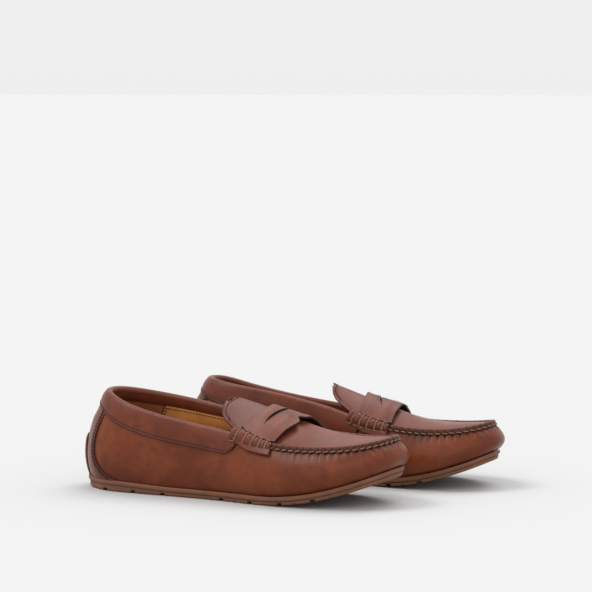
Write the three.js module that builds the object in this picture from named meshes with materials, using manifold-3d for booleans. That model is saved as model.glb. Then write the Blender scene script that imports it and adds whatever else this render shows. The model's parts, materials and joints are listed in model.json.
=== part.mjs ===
// A pair of penny loafers on moulded rubber soles, as an assembly of separate pieces.
// Units are millimetres. +X runs from heel to toe, +Y to the left, +Z up, and the pair stands on Z = 0.
// The right shoe is drawn on two families of curves and the left shoe is its mirror image.
// The origin is the bottom centre of the box around the pair.

import * as THREE from 'three';
import { mergeVertices } from 'three/addons/utils/BufferGeometryUtils.js';
import Module from 'manifold-3d';

const wasm = await Module();
wasm.setup();

// ---- Driving dimensions -------------------------------------------------------------------

const shoeLength = 252;      // heel tab to toe rim
const ballWidth = 84;        // widest part of the sole
const backHeight = 73;       // topline above the ground at the heel

const upperLeather = 1.5;    // quarter and vamp
const overlayLeather = 1.0;  // back strap and collar band
const plugLeather = 1.4;     // apron and tongue
const strapLeather = 1.5;    // saddle strap
const liningLeather = 1.0;
const stiffener = 1.2;       // heel counter and toe puff
const boardThickness = 2.0;  // insole board
const sockThickness = 3.0;   // cushioned footbed
const seatGap = 0.3;         // clearance kept between neighbouring solids
const layerGap = 0.5;        // and between the curved layers of the upper
const strapGap = 0.7;        // under the back strap and the saddle strap, which bow slightly
const foamGap = 0.4;         // between the collar's foam and the linings

const soleRim = 1.5;         // how far the sole stands out past the upper
const rimDepth = 3.2;        // height of the upper band of the sole's edge
const rimStep = 1.2;         // how far the lower band is set back
const treadBevel = 2.2;      // inset of the tread's bottom edge
const grooveWidth = 3.2;
const grooveDepth = 1.8;
const groovePitch = 24.5;    // spacing of the tread's cross grooves
const firstGroove = 27;
const heelEdge = 8.4;        // sole thickness at the heel and under the ball
const foreEdge = 6.6;
const toeSpring = 22;        // height of the tread under the toe tip
const tabRubber = 1.6;       // heel tab

const collarRadius = 2.8;    // half the padded collar's thickness
const rollHeight = 4.6;      // half height of a beef roll at its rear end
const rollDepth = 2.0;       // half thickness of a beef roll
const strapRear = 138;       // saddle strap's edges along the shoe, on the crest of the instep
const strapFront = 167;
const strapSkew = 0.2;       // how far the strap runs forward towards the inner side, per mm across
const strapReach = 31;       // from the crest to a beef roll
const slotWidth = 30;        // penny slot across the strap
const slotGap = 2.6;
const slotPlace = 158;
const ridgeWidth = 3.4;      // raised moccasin seam
const ridgeHeight = 4.6;

const flexPlace = 180;       // ball of the foot, where the shoe bends
const flexTravel = 20;       // degrees the forefoot bends up
const flexSpare = 2;         // degrees of clearance beyond that travel

const pairForward = 30;      // how far the left shoe stands ahead of the right one
const pairAcross = 101;      // and beside it
const pairTurn = 3.3;        // degrees that its toe turns outward

// ---- The last: curves that every piece is drawn on ------------------------------------------

const lastSize = { length: 252, width: 84, height: 73 };
const scaleX = shoeLength / lastSize.length;
const scaleY = ballWidth / lastSize.width;
const scaleZ = backHeight / lastSize.height;
const along = (x) => x * scaleX;

const smooth = (low, high, value) => THREE.MathUtils.smoothstep(value, low, high);
const mix = THREE.MathUtils.lerp;

// Height of the tread above the ground: level, with a small bevel at the heel and the toe spring.
function treadHeight(x) {
  const place = x / scaleX;
  const heel = Math.max(0, 1 - place / 12);
  const toe = Math.max(0, (place - 155) / 94);
  return 3 * heel * heel + toeSpring * toe * toe;
}

const edgeHeight = (x) => mix(heelEdge, foreEdge, smooth(30, 90, x / scaleX));
const featherHeight = (x) => treadHeight(x) + edgeHeight(x);

// Stations run from the heel along the outer side to the toe, then back along the inner side.
// Each has a point on the feather line, one at the widest part of the wall and one at its top.
const heelStation = { foot: [5.5, 0], belly: [2.5, 0, 37], top: [18.5, 0, 73] };
const toeStation = { foot: [246, 5], belly: [250.5, 5, 36], top: [243, 4, 45.5] };
const outerStations = [
  { foot: [10, -17], belly: [7.5, -20.5, 36], top: [25, -14, 71] },
  { foot: [28, -26], belly: [27, -30, 33], top: [45, -23, 64.5] },
  { foot: [60, -29], belly: [60, -33, 29], top: [73, -27.5, 58] },
  { foot: [95, -30], belly: [95, -34.5, 27], top: [100, -29.5, 53.3] },
  { foot: [127, -33.5], belly: [127, -38.5, 24], top: [131, -31.5, 49] },
  { foot: [158, -39], belly: [158, -43.5, 22], top: [158, -34.5, 41] },
  { foot: [190, -40.5], belly: [191, -45, 23], top: [188, -35, 39] },
  { foot: [218, -33], belly: [221, -37.5, 28], top: [216, -30.5, 40] },
  { foot: [238, -18.5], belly: [243, -21, 33], top: [235, -19, 43] },
];
const innerStations = [
  { foot: [10, 16], belly: [7.5, 19, 36], top: [25, 13, 72.5] },
  { foot: [28, 24], belly: [27, 28, 34], top: [46, 20, 69.5] },
  { foot: [60, 23.5], belly: [60, 28, 32], top: [73, 22, 65.3] },
  { foot: [95, 19.5], belly: [95, 25, 30], top: [98, 22.5, 60.3] },
  { foot: [125, 22], belly: [125, 29, 27], top: [131, 26.5, 53.5] },
  { foot: [155, 32], belly: [156, 37.5, 23], top: [158, 32, 45] },
  { foot: [187, 38], belly: [189, 43, 22], top: [190, 34.5, 41] },
  { foot: [216, 35], belly: [219, 40, 26], top: [216, 31, 41] },
  { foot: [237, 23], belly: [242, 25.5, 32], top: [235, 21, 43.5] },
];
const stations = [heelStation, ...outerStations, toeStation, ...innerStations.slice().reverse()];
const toePlace = 0.5;
const stationStep = 1 / stations.length;

const scaled = ([x, y, z]) => new THREE.Vector3(x * scaleX, y * scaleY, z * scaleZ);
const loop = (points) => new THREE.CatmullRomCurve3(points, true, 'catmullrom', 0.5);
const footCurve = loop(stations.map(({ foot: [x, y] }) => {
  const point = scaled([x, y, 0]);
  point.z = featherHeight(point.x);
  return point;
}));
const bellyCurve = loop(stations.map(({ belly }) => scaled(belly)));
const topCurve = loop(stations.map(({ top }) => scaled(top)));

const turn = (u) => u - Math.floor(u);

// The side wall at turn u around the shoe and share t of its height, on the outer face of the upper.
function wallSurface(u, t) {
  const foot = footCurve.getPoint(turn(u));
  const top = topCurve.getPoint(turn(u));
  const belly = bellyCurve.getPoint(turn(u));
  const pull = belly.multiplyScalar(2).addScaledVector(foot, -0.5).addScaledVector(top, -0.5);
  const low = foot.multiplyScalar((1 - t) * (1 - t));
  return low.addScaledVector(pull, 2 * t * (1 - t)).addScaledVector(top, t * t);
}

function wallFrame(u, t) {
  const small = 0.002;
  const around = wallSurface(u + small, t).sub(wallSurface(u - small, t));
  const up = wallSurface(u, t + small).sub(wallSurface(u, t - small)).normalize();
  const out = new THREE.Vector3().crossVectors(around, up).normalize();
  return { out, up };
}

// A point off the wall's outer face: positive is outward, negative is into the shoe.
function wall(u, t, offset) {
  return wallSurface(u, t).addScaledVector(wallFrame(u, t).out, offset);
}

// The plug: apron and tongue in one sheet, from the tongue's rear edge (w = 0) to the toe (w = 1).
const plugTip = [115.5, -2.5, 70.5];
const plugOuterRear = [[116.5, -13, 67.5], [120, -21.5, 61], [129, -27, 53.5], [138, -29.5, 49]];
const plugInnerRear = [[118.5, 8, 68.8], [123.5, 17, 63], [133, 22.5, 57], [143, 27, 51.8]];
const seamFrom = 5;          // first station of the walls that the moccasin seam runs along
const edgeOf = (rear, side) => new THREE.CatmullRomCurve3(
  [plugTip, ...rear, ...side.slice(seamFrom).map(({ top }) => top), toeStation.top].map(scaled),
  false, 'catmullrom', 0.5,
);
const plugOuterEdge = edgeOf(plugOuterRear, outerStations);
const plugInnerEdge = edgeOf(plugInnerRear, innerStations);
const crest = new THREE.SplineCurve([
  [115.5, 70.5], [122, 70], [139, 65], [150, 61.2], [160, 56.8], [168, 53.3], [178, 51],
  [190, 49.3], [205, 47.6], [220, 46.3], [243, 46],
].map(([x, z]) => new THREE.Vector2(x * scaleX, z * scaleZ)));
const crestSamples = crest.getPoints(200);

function crestHeight(x) {
  const next = crestSamples.findIndex((point) => point.x >= x);
  if (next === 0) return crestSamples[0].y;
  if (next < 0) return crestSamples[crestSamples.length - 1].y;
  const before = crestSamples[next - 1];
  const after = crestSamples[next];
  return mix(before.y, after.y, (x - before.x) / (after.x - before.x));
}

function plugSurface(w, v) {
  const outer = plugOuterEdge.getPoint(w);
  const inner = plugInnerEdge.getPoint(w);
  const point = outer.clone().lerp(inner, v);
  const middle = outer.clone().lerp(inner, 0.5);
  const rise = crestHeight(middle.x) - middle.z;
  point.z += rise * (1 - Math.abs(2 * v - 1) ** 2.4);
  return point;
}

function plug(w, v, offset) {
  const small = 0.004;
  const forward = plugSurface(Math.min(1, w + small), v).sub(plugSurface(Math.max(0, w - small), v));
  const across = plugSurface(w, v + small).sub(plugSurface(w, v - small));
  const out = new THREE.Vector3().crossVectors(forward, across).normalize();
  return plugSurface(w, v).addScaledVector(out, offset);
}

// The share w at which the plug's middle reaches a place along the shoe.
function plugShare(x) {
  let low = 0;
  let high = 1;
  for (let step = 0; step < 24; step += 1) {
    const half = (low + high) / 2;
    if (plugSurface(half, 0.5).x < x) low = half;
    else high = half;
  }
  return low;
}

// The turn u at which the wall's top reaches a place along one side.
function wallTurn(x, side) {
  let low = 0;
  let high = toePlace;
  for (let step = 0; step < 24; step += 1) {
    const half = (low + high) / 2;
    if (topCurve.getPoint(turn(side * half)).x < x) low = half;
    else high = half;
  }
  return side * low;
}

// ---- Solids ---------------------------------------------------------------------------------

const spread = (from, to, count) => Array.from({ length: count }, (_, i) => mix(from, to, i / (count - 1)));

function signedVolume(points, faces) {
  const cross = new THREE.Vector3();
  return faces.reduce((sum, [a, b, c]) => sum + points[a].dot(cross.crossVectors(points[b], points[c])), 0);
}

function geometryOf(points, faces) {
  const facing = signedVolume(points, faces) < 0 ? faces.map(([a, b, c]) => [a, c, b]) : faces;
  const geometry = new THREE.BufferGeometry().setFromPoints(points);
  geometry.setIndex(facing.flat());
  return geometry;
}

const quad = (a, b, c, d) => [[a, b, c], [a, c, d]];

// A closed skin between two grids of points with the same rows and columns.
function sheet(outer, inner) {
  const rows = outer.length;
  const columns = outer[0].length;
  const points = [...outer.flat(), ...inner.flat()];
  const shift = rows * columns;
  const at = (i, j) => i * columns + j;
  const faces = [];
  for (let i = 0; i < rows - 1; i += 1) {
    for (let j = 0; j < columns - 1; j += 1) {
      const [a, b, c, d] = [at(i, j), at(i + 1, j), at(i + 1, j + 1), at(i, j + 1)];
      faces.push(...quad(a, b, c, d), ...quad(a + shift, d + shift, c + shift, b + shift));
    }
  }
  for (let i = 0; i < rows - 1; i += 1) {
    for (const [a, b] of [[at(i + 1, 0), at(i, 0)], [at(i, columns - 1), at(i + 1, columns - 1)]]) {
      faces.push(...quad(a, b, b + shift, a + shift));
    }
  }
  for (let j = 0; j < columns - 1; j += 1) {
    for (const [a, b] of [[at(0, j), at(0, j + 1)], [at(rows - 1, j + 1), at(rows - 1, j)]]) {
      faces.push(...quad(a, b, b + shift, a + shift));
    }
  }
  return geometryOf(points, faces);
}

// A closed stack of rings, with its two ends capped by strips from side to side.
function stack(rings) {
  const count = rings[0].length;
  const faces = [];
  for (let k = 0; k < rings.length - 1; k += 1) {
    for (let i = 0; i < count; i += 1) {
      const next = (i + 1) % count;
      faces.push(...quad(k * count + i, k * count + next, (k + 1) * count + next, (k + 1) * count + i));
    }
  }
  const cap = (shift, flip) => {
    for (let i = 0; i < count / 2; i += 1) {
      const [a, b] = [i, i + 1];
      const [c, d] = [count - i - 1, (count - i) % count];
      const corners = [a, b, c, d].filter((corner, k, all) => all.indexOf(corner) === k);
      const strip = corners.length === 4 ? quad(...corners) : [corners];
      for (const face of strip) {
        const moved = face.map((corner) => corner + shift);
        faces.push(flip ? moved.reverse() : moved);
      }
    }
  };
  cap(0, true);
  cap((rings.length - 1) * count, false);
  return geometryOf(rings.flat(), faces);
}

// Every piece on the wall shares these turns, so that neighbours bend at the same places. They are
// close together round the heel and the toe, and wider apart along the sides.
const sharedTurns = (() => {
  const half = [];
  for (let station = 0; station < stations.length / 2; station += 1) {
    const fine = station < 2 || station > 7 ? 4 : 2;
    for (let step = 0; step < fine; step += 1) half.push((station + step / fine) * stationStep);
  }
  return [...half, ...half.map((u) => u + toePlace)].map((u, i, all) => (
    u < toePlace ? u : 1 - (i === half.length ? toePlace : all[2 * half.length - i])
  ));
})();

// The shared turns between two limits, which may be negative for the inner side, and the limits.
function turnsBetween(from, to) {
  const slack = 0.15 * stationStep;
  const inside = [...sharedTurns.map((u) => u - 1), ...sharedTurns].filter((u) => u > from + slack && u < to - slack);
  return [from, ...inside, to];
}

// A skin on the side wall. The limits of t and the offsets may change with u.
function wallSheet(turns, steps, tLow, tHigh, outerOffset, innerOffset) {
  const grid = (offset) => turns.map((u) => spread(0, 1, steps).map((share) => {
    const t = mix(tLow(u), tHigh(u), share);
    return wall(u, t, offset(u, t));
  }));
  return sheet(grid(outerOffset), grid(innerOffset));
}

function solidOf(geometry) {
  const plain = geometry.clone();
  plain.deleteAttribute('normal');
  plain.deleteAttribute('uv');
  const merged = mergeVertices(plain, 1e-4);
  const mesh = new wasm.Mesh({
    numProp: 3,
    vertProperties: new Float32Array(merged.attributes.position.array),
    triVerts: new Uint32Array(merged.index.array),
  });
  return new wasm.Manifold(mesh);
}

function geometryFrom(solid) {
  const mesh = solid.getMesh();
  const geometry = new THREE.BufferGeometry();
  geometry.setAttribute('position', new THREE.BufferAttribute(new Float32Array(mesh.vertProperties), 3));
  geometry.setIndex([...mesh.triVerts]);
  return geometry;
}

const joined = (...pieces) => geometryFrom(pieces.map(solidOf).reduce((a, b) => a.add(b)));
const cutBy = (piece, ...tools) => geometryFrom(
  tools.map(solidOf).reduce((whole, tool) => whole.subtract(tool), solidOf(piece)),
);
const common = (piece, region) => geometryFrom(solidOf(piece).intersect(region));

// ---- Where the shoe bends ---------------------------------------------------------------------

const flexX = along(flexPlace);
const flexZ = featherHeight(flexX) - seatGap;
const farAway = 2 * (shoeLength + ballWidth + backHeight);
const lean = Math.tan(THREE.MathUtils.degToRad(flexTravel + flexSpare));

// A slab of space with the given outline in the XZ plane.
function regionXZ(outline) {
  const shape = new THREE.Shape(outline.map(([x, z]) => new THREE.Vector2(x, z)));
  const geometry = new THREE.ExtrudeGeometry(shape, { depth: 2 * farAway, bevelEnabled: false });
  geometry.rotateX(Math.PI / 2).translate(0, farAway, 0);
  return solidOf(geometry);
}

const rearEdge = flexX - seatGap / 2;
const frontEdge = flexX + seatGap / 2;
const rearRegion = regionXZ([
  [-farAway, -farAway], [rearEdge, -farAway], [rearEdge, farAway], [-farAway, farAway],
]);
const frontRegion = regionXZ([
  [frontEdge, -farAway], [farAway, -farAway], [farAway, farAway],
  [frontEdge + (farAway - flexZ) * lean, farAway], [frontEdge, flexZ],
]);
const foldRegion = regionXZ([
  [frontEdge, flexZ + seatGap * 3], [frontEdge, farAway], [frontEdge + (farAway - flexZ) * lean - seatGap, farAway],
]);
const sideRegion = (side) => regionXZ([
  [-farAway, -farAway], [farAway, -farAway], [farAway, farAway], [-farAway, farAway],
]).translate([0, side * farAway, 0]);
const outerSide = sideRegion(-1);
const innerSide = sideRegion(1);

// ---- Shared limits of the pieces on the wall ----------------------------------------------------

// The skewed strap puts the inner side's collar end and seam start further forward.
const collarEnd = { outer: 4.95 * stationStep, inner: 5.45 * stationStep };
const ridgeStart = { outer: 6.25 * stationStep, inner: 6.55 * stationStep };
const bandLow = (u) => mix(0.86, 0.72, smooth(0, 4 * stationStep, Math.abs(u)));
const bandInnerLow = 0.84;
const seamTop = 0.94;                      // the vamp stops this far up, under the raised seam
const sideShare = (u) => Math.min(turn(u), turn(-u));
const pastCollar = (u) => {
  const end = turn(u) < toePlace ? collarEnd.outer : collarEnd.inner;
  return smooth(end, end + 0.35 * stationStep, sideShare(u));
};
const quarterTop = (u) => mix(bandLow(sideShare(u)) + 0.04, seamTop, pastCollar(u));
const liningStart = 0.1;
const liningTop = (u) => mix(bandInnerLow - 0.02, 0.9, pastCollar(u));
const liningFace = (u, t) => {
  const place = sideShare(u);
  const heel = 1 - smooth(2.9 * stationStep, 3.5 * stationStep, place);
  const toe = smooth(7.4 * stationStep, 8 * stationStep, place);
  const collar = smooth(0.5, 0.8, t) * (1 - pastCollar(u));
  const stiffened = (stiffener + layerGap) * Math.max(heel, toe);
  const padded = (collarRadius - overlayLeather + foamGap - layerGap) * collar;
  return -(upperLeather + layerGap + Math.max(stiffened, padded));
};
const liningBack = (u, t) => liningFace(u, t) - liningLeather;
const flat = (value) => () => value;

// ---- The pieces ---------------------------------------------------------------------------------

// Rings around the sole's outline, moved out by a margin, at a height that follows the shoe's length.
function outlineRing(count, margin, height) {
  return spread(0, 1, count + 1).slice(0, count).map((u) => {
    const foot = footCurve.getPoint(u);
    const tangent = footCurve.getPoint(turn(u + 0.002)).sub(footCurve.getPoint(turn(u - 0.002)));
    const out = new THREE.Vector3(tangent.y, -tangent.x, 0).normalize();
    const point = foot.addScaledVector(out, margin(u));
    point.z = height(point.x);
    return point;
  });
}

const tabHalf = 0.66 * stationStep;        // half width of the heel tab, as a turn around the heel

function outsole() {
  const count = 48;
  const heelFlare = (u) => (overlayLeather + tabRubber) * (1 - smooth(tabHalf, 2.2 * tabHalf, sideShare(u)));
  const rim = (inset) => (u) => soleRim + heelFlare(u) - inset;
  const top = (x) => featherHeight(x) - seatGap;
  const body = stack([
    outlineRing(count, rim(0), top),
    outlineRing(count, rim(0), (x) => top(x) - rimDepth),
    outlineRing(count, rim(rimStep), (x) => top(x) - rimDepth - 0.3),
    outlineRing(count, rim(rimStep * 0.8), (x) => treadHeight(x) + 1),
    outlineRing(count, rim(treadBevel), treadHeight),
  ]);
  const tabTurns = turnsBetween(-tabHalf, tabHalf);
  const tabTop = (u) => 0.52 - 0.08 * (u / tabHalf) ** 4;
  const tabSeat = overlayLeather + strapGap + seatGap;
  const tab = wallSheet(tabTurns, 7, flat(-0.06), tabTop, flat(tabSeat + tabRubber), flat(tabSeat));
  const grooves = Array.from({ length: 8 }, (_, i) => along(firstGroove + i * groovePitch))
    .filter((x, i) => i !== 3)
    .map((x) => {
      const groove = new THREE.BoxGeometry(grooveWidth, 3 * ballWidth, 2 * grooveDepth);
      return groove.translate(x, 0, treadHeight(x));
    });
  return cutBy(joined(body, tab), ...grooves);
}

// A plate that lies on the sole inside the walls.
function plate(inset, low, thick) {
  const count = 40;
  return stack([
    outlineRing(count, flat(-inset), (x) => featherHeight(x) + low),
    outlineRing(count, flat(-inset), (x) => featherHeight(x) + low + thick),
  ]);
}

const insoleBoard = () => plate(upperLeather + 2 * seatGap, 0, boardThickness);
const footbed = () => plate(
  upperLeather + stiffener + liningLeather + 3 * layerGap, boardThickness + seatGap, sockThickness,
);

// The one-piece quarter and vamp wall, open under the tongue and closed round the toe and heel.
function upperWall() {
  const ring = (offset, share) => sharedTurns.map((u) => wall(u, quarterTop(u) * share, offset));
  const shares = spread(0.004, 1, 7);
  const outside = shares.map((share) => ring(0, share));
  const inside = shares.map((share) => ring(-upperLeather, share)).reverse();
  return hoop([...outside, ...inside]);
}

// A closed band made of rings that lead back to the first one.
function hoop(rings) {
  const count = rings[0].length;
  const total = rings.length;
  const faces = [];
  for (let k = 0; k < total; k += 1) {
    const above = (k + 1) % total;
    for (let i = 0; i < count; i += 1) {
      const next = (i + 1) % count;
      faces.push(...quad(k * count + i, k * count + next, above * count + next, above * count + i));
    }
  }
  return geometryOf(rings.flat(), faces);
}

function backStrap() {
  const heights = spread(0.06, bandLow(0.06) - 0.02, 7);
  const strapHalf = (height) => 0.075 + 0.04 * (1 - height) ** 3;
  const widest = turnsBetween(-strapHalf(0), strapHalf(0));
  const grid = (offset) => heights.map((height) => widest.map((u) => (
    wall(u * strapHalf(height) / strapHalf(0), height, offset)
  )));
  return sheet(grid(strapGap + overlayLeather), grid(strapGap));
}

// The collar band: up the outside, round the padded topline and down the inside.
function collarBand() {
  const turns = turnsBetween(-collarEnd.inner, collarEnd.outer);
  const centreT = 0.965;
  const centreOff = seatGap + overlayLeather - collarRadius;
  const lay = (radius) => turns.map((u) => {
    const { out, up } = wallFrame(u, centreT);
    const centre = wall(u, centreT, centreOff);
    const leg = spread(bandLow(u), centreT, 3).slice(0, 2).map((t) => wall(u, t, centreOff + radius));
    const bend = spread(0, Math.PI, 5).map((angle) => (
      centre.clone().addScaledVector(out, radius * Math.cos(angle)).addScaledVector(up, radius * Math.sin(angle))
    ));
    return [...leg, ...bend, wall(u, bandInnerLow, centreOff - radius)];
  });
  return sheet(lay(collarRadius), lay(collarRadius - overlayLeather));
}

function collarFoam() {
  const turns = turnsBetween(0.004 - collarEnd.inner, collarEnd.outer - 0.004);
  const depth = 2 * (collarRadius - overlayLeather - seatGap);
  return wallSheet(turns, 3, (u) => bandLow(u) + 0.065, flat(0.955), flat(0), flat(-depth));
}

const heelLining = () => wallSheet(
  turnsBetween(-3 * stationStep, 3 * stationStep), 4, flat(liningStart), liningTop, liningFace, liningBack,
);

function quarterLining(side) {
  const from = 3 * stationStep + 0.004;
  const to = 7.4 * stationStep;
  const turns = side > 0 ? turnsBetween(from, to) : turnsBetween(-to, -from);
  const whole = wallSheet(turns, 4, flat(liningStart), liningTop, liningFace, liningBack);
  return common(whole, rearRegion);
}

function vampLining() {
  const turns = turnsBetween(6.5 * stationStep, 1 - 6.5 * stationStep);
  const whole = wallSheet(turns, 4, flat(liningStart), liningTop, liningFace, liningBack);
  return common(whole, frontRegion);
}

const stiffFace = flat(-(upperLeather + layerGap));
const stiffBack = flat(-(upperLeather + layerGap + stiffener));
const heelCounter = () => wallSheet(
  turnsBetween(-2.2 * stationStep, 2.2 * stationStep), 4, flat(0.12), flat(0.6), stiffFace, stiffBack,
);
const toePuff = () => wallSheet(
  turnsBetween(toePlace - 1.9 * stationStep, toePlace + 1.9 * stationStep), 4, flat(0.2), flat(0.86), stiffFace, stiffBack,
);

// A skin on the plug surface. Its rear and front limits may change across the shoe.
function plugSheet(rows, columns, from, to, margin, outerOffset, innerOffset) {
  const grid = (offset) => spread(0, 1, rows).map((share) => (
    spread(margin, 1 - margin, columns).map((v) => plug(mix(from(v), to(v), share), v, offset))
  ));
  return sheet(grid(outerOffset), grid(innerOffset));
}

// The share at a place along the crest, skewed across the shoe as the saddle strap is.
const skewed = (x, v) => plugShare(along(x) + strapSkew * strapReach * scaleY * (2 * v - 1));
const tongueLine = (v) => skewed(strapRear + 1, v);
const tongueEnd = (v) => tongueLine(v) - 0.004;
const toeEndShare = 0.985;

const tongueMargin = 0.035;                // keeps its sides clear of the collar as it lifts
const tongue = () => plugSheet(7, 9, flat(0.03), tongueEnd, tongueMargin, 0, -plugLeather);
const tongueLiningFace = plugLeather + 2 * layerGap;
const tongueLining = () => plugSheet(
  6, 7, flat(0.1), tongueEnd, 0.05, -tongueLiningFace, -tongueLiningFace - liningLeather,
);

// The seam's raised ridge, a rounded bead that follows the top of the vamp round the toe.
function seamRidge() {
  const turns = turnsBetween(ridgeStart.outer, 1 - ridgeStart.inner);
  const sides = 6;
  return stack(turns.map((u) => {
    const { out } = wallFrame(u, 1);
    const level = new THREE.Vector3(out.x, out.y, 0).normalize();
    const centre = wallSurface(u, 1);
    return spread(0, 2 * Math.PI, sides + 1).slice(0, sides).map((angle) => {
      const point = centre.clone().addScaledVector(level, 0.5 * ridgeWidth * Math.cos(angle));
      point.z += 0.5 * ridgeHeight * Math.sin(angle) + 0.25 * ridgeHeight;
      return point;
    });
  }));
}

function apron() {
  const panel = plugSheet(16, 9, tongueLine, flat(toeEndShare), 0, 0, -plugLeather);
  return joined(panel, seamRidge());
}

// The saddle strap, with its centre notch at the front and the crescent penny slot.
function saddleStrap() {
  const columns = spread(0.075, 0.925, 13);
  const lay = (offset) => spread(0, 1, 5).map((share) => columns.map((v) => {
    const fromCentre = Math.abs(2 * v - 1);
    const notch = 3 * (1 - smooth(0, 0.2, fromCentre));
    const flare = 3 * smooth(0.15, 0.4, fromCentre) * (1 - smooth(0.6, 0.95, fromCentre));
    const taper = 3 * smooth(0.65, 1, fromCentre);
    const front = strapFront + flare - notch - taper;
    return plug(skewed(mix(strapRear, front, share), v), v, offset);
  }));
  const strap = sheet(lay(strapGap + strapLeather), lay(strapGap));
  const half = slotWidth / 2;
  const bow = 7;
  const shape = new THREE.Shape();
  const [back, ahead] = [-bow - strapSkew * half, -bow + strapSkew * half];
  shape.moveTo(back, -half);
  shape.quadraticCurveTo(bow + slotGap, 0, ahead, half);
  shape.quadraticCurveTo(bow - slotGap, 0, back, -half);
  const slot = new THREE.ExtrudeGeometry(shape, { depth: backHeight, bevelEnabled: false, curveSegments: 6 });
  slot.translate(along(slotPlace), 0, crestHeight(along(slotPlace)) - backHeight / 3);
  return cutBy(strap, slot);
}

// A beef roll: the strap's end rolled and bound against the seam, with a short tab below it.
function beefRoll(side) {
  const lag = side * strapSkew * strapReach * scaleY;
  const from = wallTurn(along(strapRear + 2) - lag, side);
  const to = wallTurn(along(strapFront + 1) - lag, side);
  const sides = 8;
  const places = spread(0, 1, 5);
  const roll = stack(places.map((share) => {
    const u = mix(from, to, share);
    const { out } = wallFrame(u, 1);
    const facing = new THREE.Vector3(out.x, out.y, 0).normalize().add(new THREE.Vector3(0, 0, 0.55)).normalize();
    const forward = wallSurface(u + 0.002 * side, 1).sub(wallSurface(u - 0.002 * side, 1)).normalize();
    const rise = new THREE.Vector3().crossVectors(forward, facing).normalize();
    const end = share * (1 - share) === 0 ? 0.7 : 1;
    const high = rollHeight * mix(1, 0.75, share) * end;
    const centre = wallSurface(u, 1).addScaledVector(facing, rollDepth + 2 * seatGap);
    return spread(0, 2 * Math.PI, sides + 1).slice(0, sides).map((angle) => centre.clone()
      .addScaledVector(facing, rollDepth * end * Math.cos(angle))
      .addScaledVector(rise, high * Math.sin(angle)));
  }));
  const tab = wallSheet(
    spread(from + 0.002 * side, to, 4), 3, flat(0.82), flat(0.95), flat(seatGap + strapLeather), flat(seatGap),
  );
  return joined(roll, tab);
}

// ---- Materials ------------------------------------------------------------------------------------

const finish = (color, roughness) => new THREE.MeshStandardMaterial({ color, roughness, metalness: 0 });
const materials = {
  leather: finish(0x6b3729, 0.42),
  trim: finish(0x5f3227, 0.45),
  lining: finish(0xa9703b, 0.6),
  heelLining: finish(0x6a3d1f, 0.85),
  board: finish(0x8a7355, 0.9),
  foam: finish(0xd9cfb8, 0.95),
  stiffener: finish(0xc9c2b2, 0.8),
  rubber: finish(0x8c5a41, 0.7),
};

// ---- Assembly -------------------------------------------------------------------------------------

function shoePieces() {
  const sole = outsole();
  const board = insoleBoard();
  const sock = footbed();
  const upper = upperWall();
  const cover = apron();
  const upperFold = geometryFrom(solidOf(upper).intersect(foldRegion));
  return {
    outsole_rear: [common(sole, rearRegion), 'rubber'],
    outsole_front: [common(sole, frontRegion), 'rubber'],
    insole_board_rear: [common(board, rearRegion), 'board'],
    insole_board_front: [common(board, frontRegion), 'board'],
    footbed_rear: [common(sock, rearRegion), 'lining'],
    footbed_front: [common(sock, frontRegion), 'lining'],
    quarter: [common(upper, rearRegion), 'leather'],
    vamp_fold_outer: [common(upperFold, outerSide), 'leather'],
    vamp_fold_inner: [common(upperFold, innerSide), 'leather'],
    vamp_front: [common(upper, frontRegion), 'leather'],
    back_strap: [backStrap(), 'trim'],
    collar_band: [collarBand(), 'leather'],
    collar_foam: [collarFoam(), 'foam'],
    heel_lining: [heelLining(), 'heelLining'],
    quarter_lining_outer: [quarterLining(1), 'lining'],
    quarter_lining_inner: [quarterLining(-1), 'lining'],
    vamp_lining: [vampLining(), 'lining'],
    heel_counter: [heelCounter(), 'stiffener'],
    toe_puff: [common(toePuff(), frontRegion), 'stiffener'],
    apron_rear: [common(cover, rearRegion), 'leather'],
    apron_fold: [common(cover, foldRegion), 'leather'],
    apron_front: [common(cover, frontRegion), 'leather'],
    tongue: [tongue(), 'leather'],
    tongue_lining: [tongueLining(), 'lining'],
    saddle_strap: [saddleStrap(), 'trim'],
    beef_roll_outer: [beefRoll(1), 'trim'],
    beef_roll_inner: [beefRoll(-1), 'trim'],
  };
}

function mirrored(geometry) {
  const copy = geometry.clone().scale(1, -1, 1);
  const index = copy.index.array;
  for (let i = 0; i < index.length; i += 3) {
    [index[i + 1], index[i + 2]] = [index[i + 2], index[i + 1]];
  }
  return copy;
}

function shoe(pieces, prefix, shape) {
  const group = new THREE.Group();
  for (const [name, [geometry, slot]] of Object.entries(pieces)) {
    const mesh = new THREE.Mesh(shape(geometry), materials[slot]);
    mesh.name = `${prefix}_${name}`;
    group.add(mesh);
  }
  return group;
}

const pieces = shoePieces();
const right = shoe(pieces, 'right', (geometry) => geometry);
const left = shoe(pieces, 'left', mirrored);
left.position.set(pairForward, pairAcross, 0);
left.rotation.z = THREE.MathUtils.degToRad(pairTurn);

const pair = new THREE.Group();
pair.add(right, left);
const box = new THREE.Box3().setFromObject(pair, true);
pair.position.set(-(box.min.x + box.max.x) / 2, -(box.min.y + box.max.y) / 2, -box.min.z);

export default pair;
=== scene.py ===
# %% [markdown]
# A pair of penny loafers: waxed brown leather on a moulded rubber sole.
#
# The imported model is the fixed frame. It says how big each shoe is and how it moves. Everything
# that is seen is built around it here, one piece at a time, from the sole to the threads. Three
# joints move a pair: the forefoot bends at the ball, the tongue lifts for the foot, and the left
# shoe can be lifted away.

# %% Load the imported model
import json
import math

import bmesh
import bpy
import numpy as np
from mathutils import Matrix, Vector


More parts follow.
